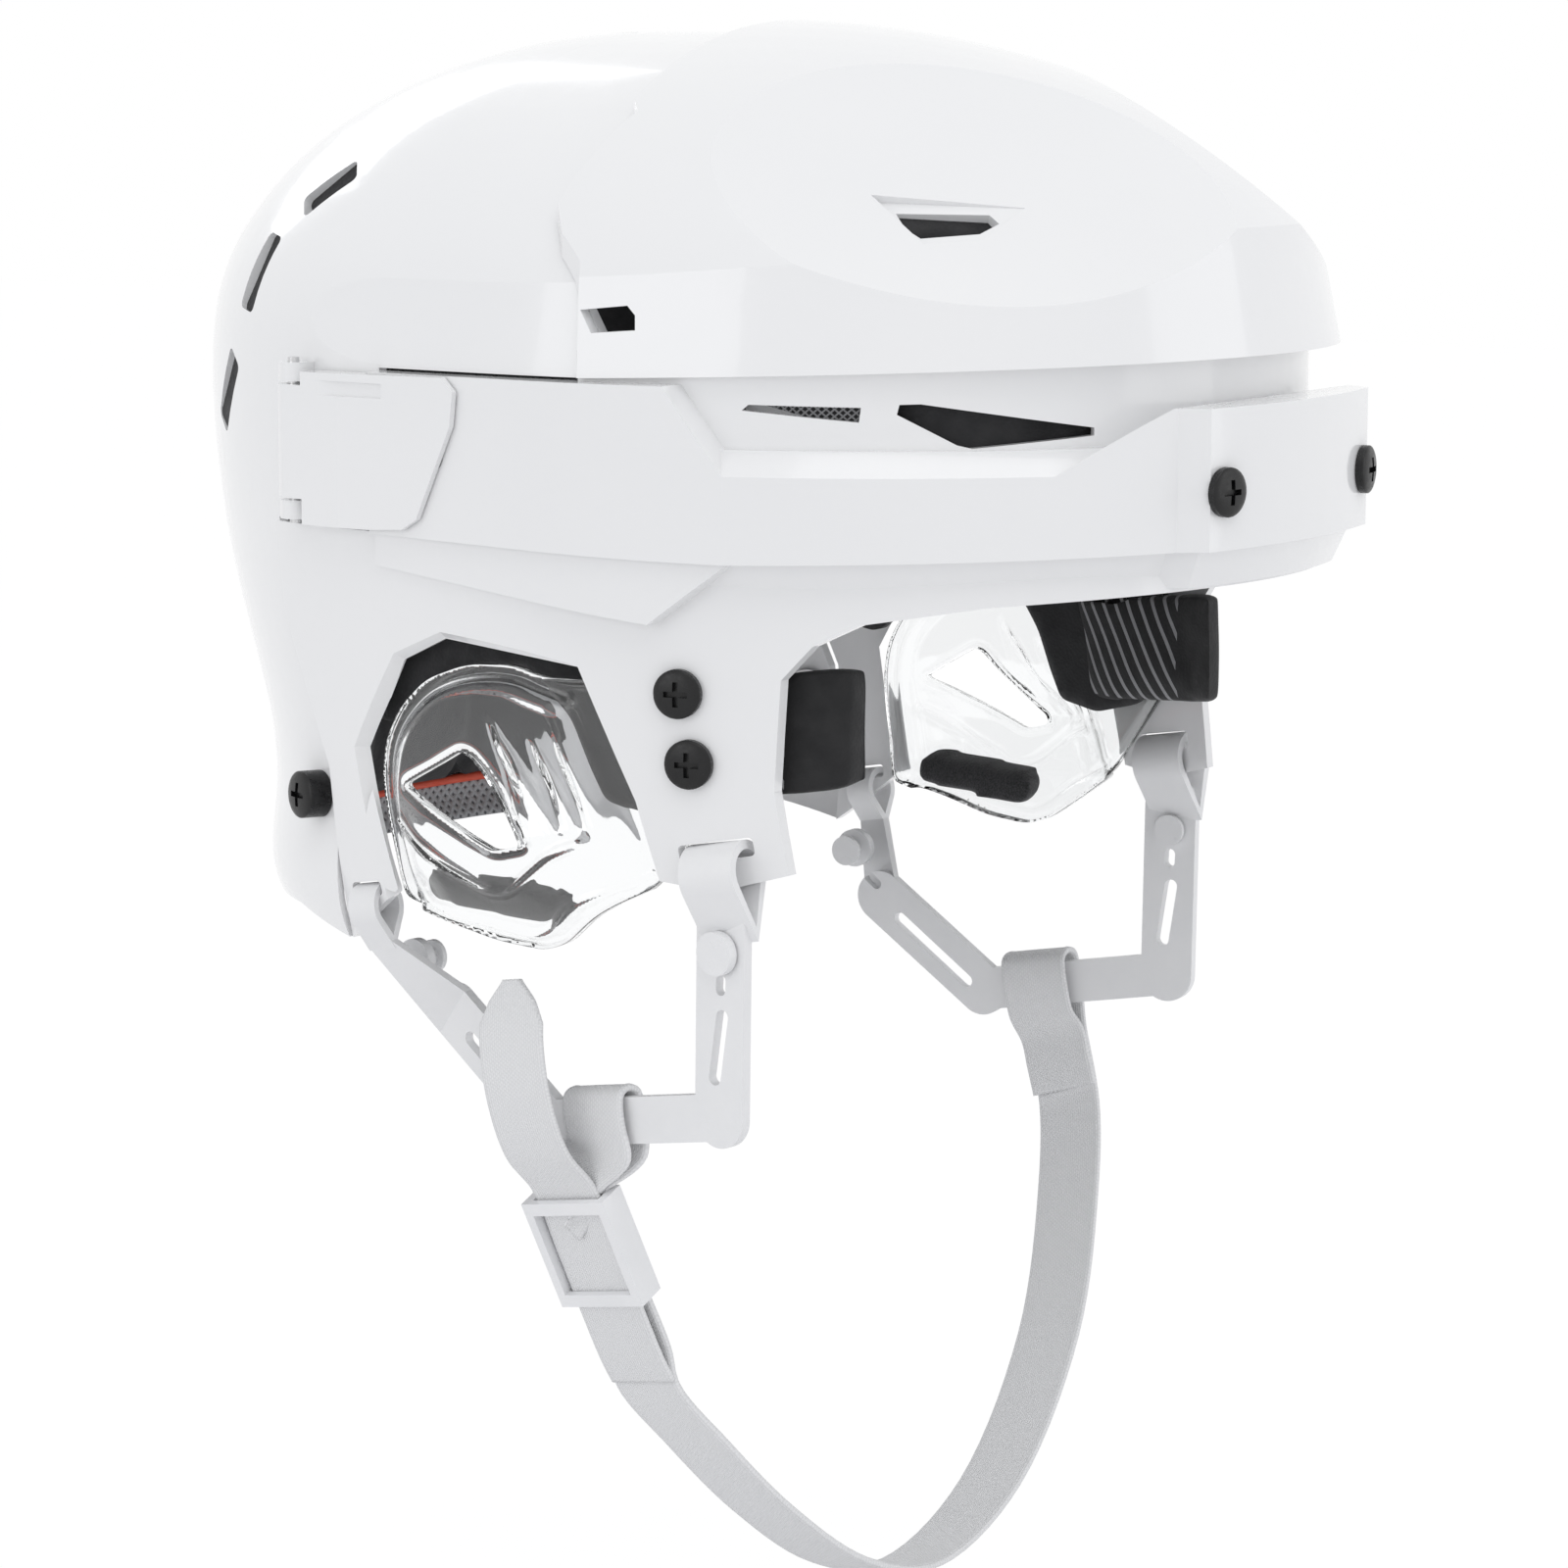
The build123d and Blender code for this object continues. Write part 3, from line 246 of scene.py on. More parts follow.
RIB_PITCH, PICK_PITCH, RIB_SHARE = 0.00115, 0.0009, 0.65


def webbing_material():
    """Woven webbing: ribs along it crossed by fine picks, from its own UVs in metres."""
    s = Shader("webbing_white", Sheen_Weight=0.3, Sheen_Roughness=0.45, Specular_IOR_Level=0.25)
    across, along = s.axes("XY", "UV")
    ribs = s.math("SINE", s.math("MULTIPLY", across, 2 * math.pi / RIB_PITCH))
    picks = s.math("SINE", s.math("MULTIPLY", along, 2 * math.pi / PICK_PITCH))
    height = s.math("ADD", s.math("MULTIPLY", s.math("MULTIPLY", ribs, picks), 1 - RIB_SHARE),
                    s.math("MULTIPLY", s.math("ABSOLUTE", ribs), RIB_SHARE))
    # The colour follows the weave's height: its low parts are darker, a painted shade in the
    # weave's hollows.
    s.color(s.ramp(height, (-0.2, 0.9)), (0.76, 0.763, 0.77), (0.88, 0.88, 0.885))
    s.rough(0.7, 0.9, scale=400.0)
    s.bump(height, distance=0.00016, strength=0.8)
    s.bump(s.noise(2200.0, 4.0), distance=0.00008, strength=0.4)
    return s.mat


def perforated_material():
    """Grey fabric with rows of small punched dots."""
    s = Shader("liner_perforated", Sheen_Weight=0.2, Sheen_Roughness=0.5, Specular_IOR_Level=0.2)
    x, z = s.axes("XZ")
    dots = s.math("MINIMUM", *s.diagonal_waves(x, z, turns=2400.0))
    s.color(s.ramp(dots, (0.2, 0.5)), (0.36, 0.36, 0.37), (0.1, 0.1, 0.105))
    s.rough(0.7, 0.9, scale=400.0)
    s.bump(dots, distance=-0.0003, strength=0.7)
    return s.mat


def mesh_material():
    """Dark screen of crossing threads."""
    s = Shader("screen_mesh", Roughness=0.6)
    y, z = s.axes("YZ")
    threads = s.math("MAXIMUM", *s.diagonal_waves(y, z, turns=4200.0))
    s.color(s.ramp(threads, (0.2, 0.8)), (0.01, 0.01, 0.011), (0.3, 0.3, 0.31))
    s.bump(threads, distance=0.0002, strength=0.8)
    return s.mat


MAT = {
    "shell": shell_material(),
    "screw": screw_material(),
    "nut": metal_material("nut_zinc", (0.42, 0.42, 0.43), (0.6, 0.6, 0.61), 0.25, 0.45),
    "pin": metal_material("pin_steel", (0.5, 0.5, 0.51), (0.7, 0.7, 0.71), 0.15, 0.3),
    "stud": plastic_material("stud_plastic", (0.8, 0.8, 0.81), (0.84, 0.84, 0.85), 0.35, 0.5),
    "guard": guard_material(),
    "felt": felt_material(),
    "foam": foam_material(),
    "striped": striped_foam_material(),
    "screen": mesh_material(),
    "sling": plastic_material("sling_satin", (0.84, 0.843, 0.85), (0.87, 0.87, 0.875), 0.32, 0.5),
    "snap": plastic_material("snap_satin", (0.84, 0.843, 0.85), (0.88, 0.88, 0.885), 0.22, 0.38),
    "buckle": plastic_material("buckle_gloss", (0.86, 0.865, 0.875), (0.9, 0.9, 0.91), 0.08, 0.18),
    "webbing": webbing_material(),
    "perforated": perforated_material(),
    "cord": plastic_material("cord_orange", (0.5, 0.055, 0.028), (0.62, 0.085, 0.04), 0.5, 0.8),
}
# The material of a CAD node goes by the first of these endings that its name has.
CAD_LOOKS = [("_shell", "shell"), ("_latch", "shell"), ("_screws", "screw"), ("_studs", "screw"),
             ("_nuts", "nut"), ("_pin", "pin"), ("lock_stud", "stud"), ("ear_guard", "guard"),
             ("ear_pad", "felt"), ("_pad", "foam"), ("vent_screens", "screen"), ("snaps", "snap"),
             ("sling", "sling"), ("strap_buckle", "buckle"), ("chin_strap", "webbing")]


def dress_cad_nodes():
    for name, obj in nodes.items():
        look = next(key for ending, key in CAD_LOOKS if name.endswith(ending))
        obj.data.materials.clear()
        obj.data.materials.append(MAT[look])


dress_cad_nodes()


# ---- mesh helpers ----
def new_object(name, verts, faces, material):
    mesh = bpy.data.meshes.new(name)
    mesh.from_pydata([tuple(v) for v in verts], [], faces)
    mesh.validate()
    mesh.update()
    obj = bpy.data.objects.new(name, mesh)
    scene.collection.objects.link(obj)
    if material:
        mesh.materials.append(material)
    return obj


def face_outwards(obj):
    mesh = bmesh.new()
    mesh.from_mesh(obj.data)
    bmesh.ops.recalc_face_normals(mesh, faces=mesh.faces)
    mesh.to_mesh(obj.data)
    mesh.free()


def smooth_shade(obj):
    for polygon in obj.data.polygons:
        polygon.use_smooth = True


def apply_modifiers(obj):
    graph = bpy.context.evaluated_depsgraph_get()
    mesh = bpy.data.meshes.new_from_object(obj.evaluated_get(graph))
    old = obj.data
    obj.modifiers.clear()
    obj.data = mesh
    if old.users == 0:
        bpy.data.meshes.remove(old)


def coords(obj):
    out = np.zeros(len(obj.data.vertices) * 3)
    obj.data.vertices.foreach_get("co", out)
    return out.reshape(-1, 3)


def set_coords(obj, co):
    obj.data.vertices.foreach_set("co", co.reshape(-1))
    obj.data.update()


def normals(obj):
    out = np.zeros(len(obj.data.vertices) * 3)
    obj.data.vertices.foreach_get("normal", out)
    return out.reshape(-1, 3)


def unit(v):
    return v / max(np.linalg.norm(v), 1e-12)


def ease(value):
    """Smooth step from 0 to 1."""
    value = np.clip(value, 0.0, 1.0)
    return value * value * (3 - 2 * value)


def tube_faces(ring, count, ends=True):
    """Faces of a tube with count rings of ring points each, with or without its ends."""
    faces = []
    for i in range(count - 1):
        for j in range(ring):
            k = (j + 1) % ring
            faces.append((i * ring + j, i * ring + k, (i + 1) * ring + k, (i + 1) * ring + j))
    if ends:
        faces += [tuple(reversed(range(ring))), tuple((count - 1) * ring + j for j in range(ring))]
    return faces


def curve_through(points, per_run):
    """Centripetal Catmull-Rom curve through the points, per_run points to each run."""
    p = np.array(points, float)
    p = np.vstack([2 * p[0] - p[1], p, 2 * p[-1] - p[-2]])
    out = []
    for i in range(1, len(p) - 2):
        t = [0.0]
        for j in range(3):
            t.append(t[-1] + max(np.linalg.norm(p[i + j] - p[i + j - 1]), 1e-9) ** 0.5)
        for k in range(per_run):
            u = t[1] + (t[2] - t[1]) * k / per_run
            a1 = (t[1] - u) / (t[1] - t[0]) * p[i - 1] + (u - t[0]) / (t[1] - t[0]) * p[i]
            a2 = (t[2] - u) / (t[2] - t[1]) * p[i] + (u - t[1]) / (t[2] - t[1]) * p[i + 1]
            a3 = (t[3] - u) / (t[3] - t[2]) * p[i + 1] + (u - t[2]) / (t[3] - t[2]) * p[i + 2]
            b1 = (t[2] - u) / (t[2] - t[0]) * a1 + (u - t[0]) / (t[2] - t[0]) * a2
            b2 = (t[3] - u) / (t[3] - t[1]) * a2 + (u - t[1]) / (t[3] - t[1]) * a3
            out.append((t[2] - u) / (t[2] - t[1]) * b1 + (u - t[1]) / (t[2] - t[1]) * b2)
    out.append(p[-2])
    return np.array(out)


# ---- fitted side wall ----
WALL_STEP = 3.0  # spacing of the measured places, in millimetres
WALL_SCALE, WALL_ORDER = 50.0, 4  # the fit is a polynomial of this order in y and z
OUTSIDE_X = 0.2  # rays start here, beside the helmet


def wall_terms(places):
    y, z = places[:, 0] / WALL_SCALE, places[:, 1] / WALL_SCALE
    return np.stack([y ** a * z ** b for a in range(WALL_ORDER + 1)
                     for b in range(WALL_ORDER + 1 - a)], 1)


def side_wall(node, sign):
    """Fit of a node's outer face: its distance from the middle plane at (y, z), in millimetres."""
    co = coords(nodes[node]) * PER_METRE
    box_low, box_high = co.min(0), co.max(0)
    tree = BVHTree.FromObject(nodes[node], bpy.context.evaluated_depsgraph_get())
    places, far = [], []
    for y in np.arange(box_low[1] + 1, box_high[1], WALL_STEP):
        for z in np.arange(box_low[2] + 1, box_high[2], WALL_STEP):
            hit = tree.ray_cast((sign * OUTSIDE_X, y * MM, z * MM), (-sign, 0, 0))[0]
            if hit is not None:
                places.append((y, z))
                far.append(abs(hit.x) * PER_METRE)
    fit = np.linalg.lstsq(wall_terms(np.array(places)), np.array(far), rcond=None)[0]
    return lambda places: wall_terms(places) @ fit


# ---- padded pieces: each pad is remeshed, blown up a little as cloth, and kept near its solid ----
CLOTH_PRESSURE, CLOTH_STIFFNESS, CLOTH_QUALITY, CLOTH_FRAMES = 4.0, 25.0, 4, 12
PAD_RELAX, RELAX_SHARE, TEMPLE_THIN = 4, 0.5, 0.58
CHANNEL = (0.004, 0.0016)  # half width and depth of most pressed channels


def pad_copy(node, name, voxel):
    obj = bpy.data.objects.new(name, nodes[node].data.copy())
    scene.collection.objects.link(obj)
    obj.data.materials.clear()
    remesh = obj.modifiers.new("remesh", "REMESH")
    remesh.mode, remesh.voxel_size = "VOXEL", voxel
    apply_modifiers(obj)
    return obj


def relax(obj, rounds):
    """Laplacian smoothing on the mesh's own edges."""
    co = coords(obj)
    edges = np.zeros(len(obj.data.edges) * 2, int)
    obj.data.edges.foreach_get("vertices", edges)
    a, b = edges.reshape(-1, 2).T
    count = np.bincount(np.concatenate([a, b]), minlength=len(co))[:, None]
    for _ in range(rounds):
        total = np.zeros_like(co)
        np.add.at(total, a, co[b])
        np.add.at(total, b, co[a])
        co += (total / np.maximum(count, 1) - co) * RELAX_SHARE
    set_coords(obj, co)


def swell(obj, cap):
    """Cloth with inner pressure; no point moves further than cap."""
    start = coords(obj)
    cloth = obj.modifiers.new("cloth", "CLOTH")
    settings = cloth.settings
    settings.use_pressure, settings.uniform_pressure_force = True, CLOTH_PRESSURE
    settings.effector_weights.gravity = 0.0
    settings.quality = CLOTH_QUALITY
    settings.tension_stiffness = settings.compression_stiffness = CLOTH_STIFFNESS
    cloth.point_cache.frame_start, cloth.point_cache.frame_end = 1, CLOTH_FRAMES
    for number in range(1, CLOTH_FRAMES + 1):
        scene.frame_set(number)
    apply_modifiers(obj)
    scene.frame_set(1)
    move = coords(obj) - start
    length = np.linalg.norm(move, axis=1)[:, None]
    set_coords(obj, start + move * np.minimum(1.0, cap / np.maximum(length, 1e-9)))


def sink(obj, planes, width, depth):
    """Pressed channels: points near each plane move inwards along their normals."""
    co, out = coords(obj), normals(obj)
    for axis, place in planes:
        off = np.abs(co[:, "xyz".index(axis)] - place)
        co = co - out * (depth * ease(1.0 - off / width))[:, None]
    set_coords(obj, co)


def thin_pad(obj, node, share):
    """Keeps the outer face and brings the inner one nearer to it."""
    co = coords(obj)
    wall = side_wall(node, math.copysign(1.0, co[0, 0]))(co[:, 1:] * PER_METRE) * MM
    co[:, 0] = np.sign(co[:, 0]) * (wall - (wall - np.abs(co[:, 0])) * share)
    set_coords(obj, co)


def make_pad(node, body, material, voxel=0.004, shrink=0.0012, cap=0.0016, grooves=None,
             thin=None):
    obj = pad_copy(node, node + "_foam", voxel)
    if thin:
        thin_pad(obj, node, thin)
    relax(obj, PAD_RELAX)
    set_coords(obj, coords(obj) - normals(obj) * shrink)
    swell(obj, cap)
    subdivide = obj.modifiers.new("round", "SUBSURF")
    subdivide.levels = subdivide.render_levels = 1
    apply_modifiers(obj)
    if grooves:
        sink(obj, *grooves)
    smooth_shade(obj)
    obj.data.materials.append(MAT[material])
    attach(obj, body)
    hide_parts(node)
    return obj


def make_pads():
    """Each pad with its channels: the planes they follow, their half width and their depth."""
    front, rear = "front_shell_group", "rear_shell_group"
    make_pad("forehead_pad", front, "foam",
             grooves=([("x", -0.034), ("x", 0.0), ("x", 0.034)], 0.004, 0.0018))
    make_pad("nape_pad", rear, "foam",
             grooves=([("x", -0.018), ("x", 0.018)], *CHANNEL))
    for side, sign in SIDES:
        make_pad(side + "_temple_pad", front, "striped", voxel=0.0022,
                 shrink=0.0007, cap=0.0009, thin=TEMPLE_THIN)
        make_pad(side + "_front_crown_pad", front, "foam",
                 grooves=([("x", sign * 0.036), ("y", -0.068)], *CHANNEL))
        make_pad(side + "_rear_crown_pad", rear, "foam",
                 grooves=([("x", sign * 0.033), ("y", 0.01), ("y", 0.042)], *CHANNEL))
        make_pad(side + "_side_pad", rear, "foam", voxel=0.003,
                 grooves=([("y", 0.018)], 0.003, 0.0014))
        make_pad(side + "_rear_pad", rear, "foam",
                 grooves=([("z", 0.007), ("z", 0.034), ("x", sign * 0.05)], *CHANNEL))


make_pads()


# ---- clear ear guards, with their felt pads and black foam frames, in millimetres ----
# Outlines and lines are (y, z) places seen from the side; both sides share them.
GUARD_OUTLINE = [(-53.0, -16.0), (-20.0, -19.6), (-11.0, -19.4), (-4.2, -17.4), (7.4, -18.0),
                 (18.4, -22.0), (26.0, -29.0), (29.9, -36.2), (31.0, -44.3), (30.2, -51.4),
                 (28.6, -59.6), (27.6, -66.4), (26.5, -70.1), (0.5, -76.4), (-11.5, -77.4),
                 (-17.0, -75.5), (-28.1, -67.2), (-37.0, -62.0), (-41.0, -56.0), (-53.0, -40.0)]
GUARD_HOLE = [(22.3, -44.6), (7.4, -36.2), (4.6, -37.0), (-11.0, -51.8), (-11.6, -54.0),
              (-4.6, -55.8)]
GUARD_RIM = curve_through([(23.0, -70.0), (24.6, -66.6), (26.6, -59.0), (28.2, -51.0),
                           (29.0, -44.3), (27.9, -36.8), (24.3, -30.4), (17.2, -24.0),
                           (7.0, -20.2), (-4.2, -19.6), (-11.0, -21.4), (-17.0, -23.0)],
                          per_run=6)
GUARD_FRONT = [(-20.4, -25.0), (-34.0, -52.0), (-37.5, -61.0)]
GUARD_BELOW = [(-28.1, -69.0), (-11.4, -80.0), (10.0, -80.0)]  # closes the dome under the lip
GUARD_RIDGE = [(23.4, -52.4), (9.8, -60.0), (-2.6, -65.0), (-8.0, -63.8), (-18.3, -55.5),
               (-23.4, -53.3)]
GUARD_FOLD = [(22.5, -69.2), (15.0, -71.2), (-10.0, -74.4), (-14.4, -72.6), (-19.9, -67.4),
              (-27.3, -63.6), (-36.0, -59.6)]
GUARD_FLUTES = [((0.3, -28.0), (-13.2, -54.6)), ((-2.8, -32.3), (-15.6, -54.2)),
                ((-4.9, -37.6), (-19.2, -53.0)), ((-10.3, -32.0), (-22.4, -52.4)),
                ((-16.0, -31.3), (-26.9, -52.1))]
FRAME_FOAM = [(30.2, -33.0), (25.3, -28.6), (17.8, -22.2), (7.0, -18.4), (-4.2, -17.8),
              (-12.0, -22.4), (-16.6, -29.0), (-20.4, -38.0), (-24.0, -45.0), (-35.0, -47.0),
              (-47.0, -44.0), (-52.0, -38.0), (-52.0, -13.0), (12.0, -7.0), (27.0, -13.0),
              (36.0, -32.0)]
GUARD_THICK, GUARD_GRID, FOAM_GRID = 1.8, 0.55, 1.6
CORNER_SHARE, CORNER_STEPS = 0.45, 5  # most of an edge that a rounded corner takes; its points
ROW_SHARE, EDGE_SHARE = 0.866, 0.6  # of the grid: between its rows, and left free along outlines
# The dome's height, and how far in from its rim and its front line it reaches that
DOME_RISE, DOME_RIM, DOME_FRONT = 3.2, 4.5, 7.0
# The same for the deeper bulge over the ear; then its top, its low end and how far in it fades
EAR_RISE, EAR_RIM, EAR_FRONT = 5.6, 14.0, 17.0
EAR_TOP, EAR_LOW, EAR_FADE = -38.0, -78.0, 17.0
# Half width and height of the raised lines and of the beads
RIDGE_LINE, FOLD_LINE = (1.1, 0.9), (0.9, 0.6)
RIM_BEAD, EDGE_BEAD, HOLE_BEAD = (1.1, 0.7), (1.2, 0.8), (1.2, 0.8)
# A flute's height, its half width at the top and what it gains, and its fade along its length
FLUTE_RISE, FLUTE_WIDTH, FLUTE_GAIN = 0.95, 0.55, 1.25
FLUTE_START, FLUTE_FADE_IN, FLUTE_FADE_OUT = 0.1, 0.3, 0.12
FELT_SHARE, FELT_BACK, FELT_RELAX = 0.94, 0.5, 3  # how closely the felt follows the bulge
# The frame foam's place behind the wall, its two faces, and its crown with that one's edge
FOAM_BEHIND, FOAM_FACE, FOAM_BACK, FOAM_CROWN, FOAM_EDGE = 2.9, 0.8, 4.2, 0.8, 2.0


def close_loop(loop):
    """The loop with its first point again at its end."""
    return np.vstack([loop, loop[:1]])


def rounded(points, radius, closed=True, step=0.8):
    """Outline with rounded corners, sampled at even steps."""
    points = [np.array(p, float) for p in points]
    out, count = [], len(points)
    for i, corner in enumerate(points):
        if not closed and i in (0, count - 1):
            out.append(corner)
            continue
        before, after = points[i - 1] - corner, points[(i + 1) % count] - corner
        cut = min(radius, np.linalg.norm(before) * CORNER_SHARE,
                  np.linalg.norm(after) * CORNER_SHARE)
        start, end = corner + unit(before) * cut, corner + unit(after) * cut
        for t in np.linspace(0, 1, CORNER_STEPS):
            out.append(start * (1 - t) ** 2 + corner * (2 * t * (1 - t)) + end * t * t)
    if closed:
        out.append(out[0])
    out = np.array(out)
    steps = np.linalg.norm(np.diff(out, axis=0), axis=1)
    length = np.concatenate([[0.0], np.cumsum(steps)])
    marks = np.linspace(0, length[-1], max(4, int(length[-1] / step)) + 1)
    even = np.stack([np.interp(marks, length, out[:, k]) for k in (0, 1)], 1)
    return even[:-1] if closed else even


def line_gap(places, line):
    """Distance of each place from a line of points, and how far along it the nearest point is."""
    best, along = np.full(len(places), 1e9), np.zeros(len(places))
    line = np.array(line, float)
    for i in range(len(line) - 1):
        a, run = line[i], line[i + 1] - line[i]
        t = np.clip(((places - a) @ run) / max(run @ run, 1e-12), 0, 1)
        gap = np.linalg.norm(places - (a + t[:, None] * run), axis=1)
        nearer = gap < best
        best[nearer], along[nearer] = gap[nearer], (i + t[nearer]) / (len(line) - 1)
    return best, along


def inside(places, outline):
    """True for places inside a closed outline."""
    result = np.zeros(len(places), bool)
    for (y0, z0), (y1, z1) in zip(outline, np.roll(outline, -1, axis=0)):
        if z0 == z1:
            continue
        crosses = (places[:, 1] > min(z0, z1)) & (places[:, 1] <= max(z0, z1))
        result ^= crosses & (places[:, 0] < y0 + (places[:, 1] - z0) * (y1 - y0) / (z1 - z0))
    return result


def sheet_between(outline, hole, grid):
    """Triangles inside an outline and outside a hole, with even points between."""
    loops = [outline] + ([hole] if hole is not None else [])
    points, edges = [], []
    for loop in loops:
        base = len(points)
        points += [tuple(p) for p in loop]
        edges += [(base + i, base + (i + 1) % len(loop)) for i in range(len(loop))]
    low, high = outline.min(0), outline.max(0)
    rows = np.arange(low[1], high[1], grid * ROW_SHARE)
    free = np.array([(y + (grid / 2 if i % 2 else 0), z) for i, z in enumerate(rows)
                     for y in np.arange(low[0], high[0], grid)])
    keep = inside(free, outline)
    for loop in loops:
        keep &= line_gap(free, close_loop(loop))[0] > grid * EDGE_SHARE
    if hole is not None:
        keep &= ~inside(free, hole)
    points += [tuple(p) for p in free[keep]]
    made = mathutils.geometry.delaunay_2d_cdt([Vector(p) for p in points], edges, [], 0, 1e-6)
    places = np.array([tuple(p) for p in made[0]])
    faces = np.array([f for f in made[2] if len(f) == 3])
    middle = places[faces].mean(1)
    keep = inside(middle, outline)
    if hole is not None:
        keep &= ~inside(middle, hole)
    return places, faces[keep]


def slab(name, places, faces, outer, inner, sign, material):
    """Closed sheet between two distances from the middle plane."""
    count = len(places)
    verts = [(sign * far, y, z) for far, (y, z) in zip(outer, places)]
    verts += [(sign * near, y, z) for near, (y, z) in zip(inner, places)]
    skin = [tuple(f) for f in faces] + [tuple(v + count for v in reversed(f)) for f in faces]
    used = dict.fromkeys(edge for a, b, c in faces for edge in ((a, b), (b, c), (c, a)))
    skin += [(b, a, a + count, b + count) for a, b in used if (b, a) not in used]
    obj = new_object(name, np.array(verts) * MM, skin, MAT[material])
    face_outwards(obj)
    smooth_shade(obj)
    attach(obj, "front_shell_group")
    return obj


def raised(gap, form):
    """Height of a raised line at a gap from its middle; its form is a half width and a height."""
    width, height = form
    return height * np.exp(-(gap / width) ** 2)


def belly(places):
    """Bulge of the moulded dome: shallow at the top, deep over the ear, flat again at the lip."""
    rim_gap, front_gap = line_gap(places, GUARD_RIM)[0], line_gap(places, GUARD_FRONT)[0]
    height = places[:, 1]
    deep = (ease((EAR_TOP - height) / EAR_FADE) * ease((height - EAR_LOW) / EAR_FADE)
            * ease(rim_gap / EAR_RIM))
    return (DOME_RISE * ease(rim_gap / DOME_RIM) * ease(front_gap / DOME_FRONT)
            + EAR_RISE * deep * ease(front_gap / EAR_FRONT))


def guard_rise(places, outline, hole):
    """How far the sheet stands out from its plain wall, and how much thicker its beads are."""
    dome = np.vstack([GUARD_RIM, GUARD_FRONT, GUARD_BELOW])
    rise = np.where(inside(places, dome), belly(places), 0.0)
    for start, end in GUARD_FLUTES:
        gap, along = line_gap(places, [start, end])
        flute = raised(gap, (FLUTE_WIDTH + FLUTE_GAIN * along, FLUTE_RISE))
        rise += (flute * ease(along / FLUTE_FADE_IN + FLUTE_START)
                 * ease((1 - along) / FLUTE_FADE_OUT))
    for line, radius, form in ((GUARD_RIDGE, 3.0, RIDGE_LINE), (GUARD_FOLD, 2.5, FOLD_LINE)):
        rise += raised(line_gap(places, rounded(line, radius, closed=False))[0], form)
    bead = (raised(line_gap(places, GUARD_RIM)[0], RIM_BEAD)
            + raised(line_gap(places, close_loop(outline))[0], EDGE_BEAD)
            + raised(line_gap(places, close_loop(hole))[0], HOLE_BEAD))
    return rise, bead


def bulge_felt(felt, sign):
    """Moves the felt's outer face out to the guard's bulge."""
    co = coords(felt)
    far = np.abs(co[:, 0])
    share = ease((far - far.min()) / (far.max() - far.min()))
    move = belly(co[:, 1:] * PER_METRE) * FELT_SHARE - FELT_BACK
    co[:, 0] += sign * share * move * MM
    set_coords(felt, co)
    relax(felt, FELT_RELAX)


def make_guards():
    outline = rounded(GUARD_OUTLINE, radius=3.5, step=0.5)
    hole = rounded(GUARD_HOLE, radius=1.6, step=0.4)
    places, faces = sheet_between(outline, hole, GUARD_GRID)
    rise, bead = guard_rise(places, outline, hole)
    foam_outline = rounded(FRAME_FOAM, radius=2.0)
    foam_places, foam_faces = sheet_between(foam_outline, None, FOAM_GRID)
    crown = FOAM_CROWN * ease(line_gap(foam_places, close_loop(foam_outline))[0] / FOAM_EDGE)
    for side, sign in SIDES:
        node = side + "_ear_guard"
        wall = side_wall(node, sign)
        face = wall(places) + rise
        guard = slab(node + "_sheet", places, faces, face + bead * 0.5,
                     face - GUARD_THICK - bead * 0.5, sign, "guard")
        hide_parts(node)
        felt = make_pad(side + "_ear_pad", "front_shell_group", "felt", voxel=0.0011,
                        shrink=0.0002, cap=0.0004)
        bulge_felt(felt, sign)
        back = wall(foam_places) - FOAM_BEHIND
        frame_foam = slab(side + "_ear_frame_foam", foam_places, foam_faces,
                          back - FOAM_FACE + crown, back - FOAM_BACK - crown, sign, "foam")


make_guards()


# ---- foam in the rear vents, in millimetres on the right side ----
VENT_RUNS = [((-78.6, 52.8, 83.9), (-81.4, 64.5, 74.8)), ((-83.9, 71.4, 69.6), (-88.4, 76.9, 53.4)),
             ((-86.9, 81.1, 42.9), (-81.9, 90.4, 27.5))]  # upper and lower end of each slot
VENT_CENTRE = np.array([0.0, 28.0, 43.0])  # the slots face away from here
VENT_HALF_WIDTH, VENT_END_GAP, VENT_DEPTHS = 3.7, 0.05, (1.5, 4.5)  # depths below the face
BOX_FACES = ((0, 1, 2, 3), (7, 6, 5, 4), (0, 4, 5, 1), (1, 5, 6, 2), (2, 6, 7, 3), (3, 7, 4, 0))


def vent_block(top, low):
    """Corners of the foam in one slot."""
    top, low = np.array(top), np.array(low)
    length = np.linalg.norm(low - top)
    along = (low - top) / length
    out = (top + low) / 2 - VENT_CENTRE
    out = unit(out - along * (out @ along))
    across = np.cross(out, along)
    half = length / 2 - VENT_END_GAP
    return [(top + low) / 2 + along * (a * half) + across * (c * VENT_HALF_WIDTH) - out * depth
            for depth in VENT_DEPTHS for a, c in ((-1, -1), (1, -1), (1, 1), (-1, 1))]


def make_vent_foam():
    """Black foam in the slots down each rear quarter, a little below the shell's face."""
    blocks = np.array([vent_block(top, low) for top, low in VENT_RUNS])
    verts = blocks.reshape(-1, 3)
    faces = [tuple(base + k for k in face)
             for base in range(0, len(verts), len(blocks[0])) for face in BOX_FACES]
    for side, flip in FROM_RIGHT.items():
        foam = new_object(side + "_rear_vent_foam", verts * flip * MM, faces, MAT["foam"])
        face_outwards(foam)
        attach(foam, "rear_shell_group")


make_vent_foam()


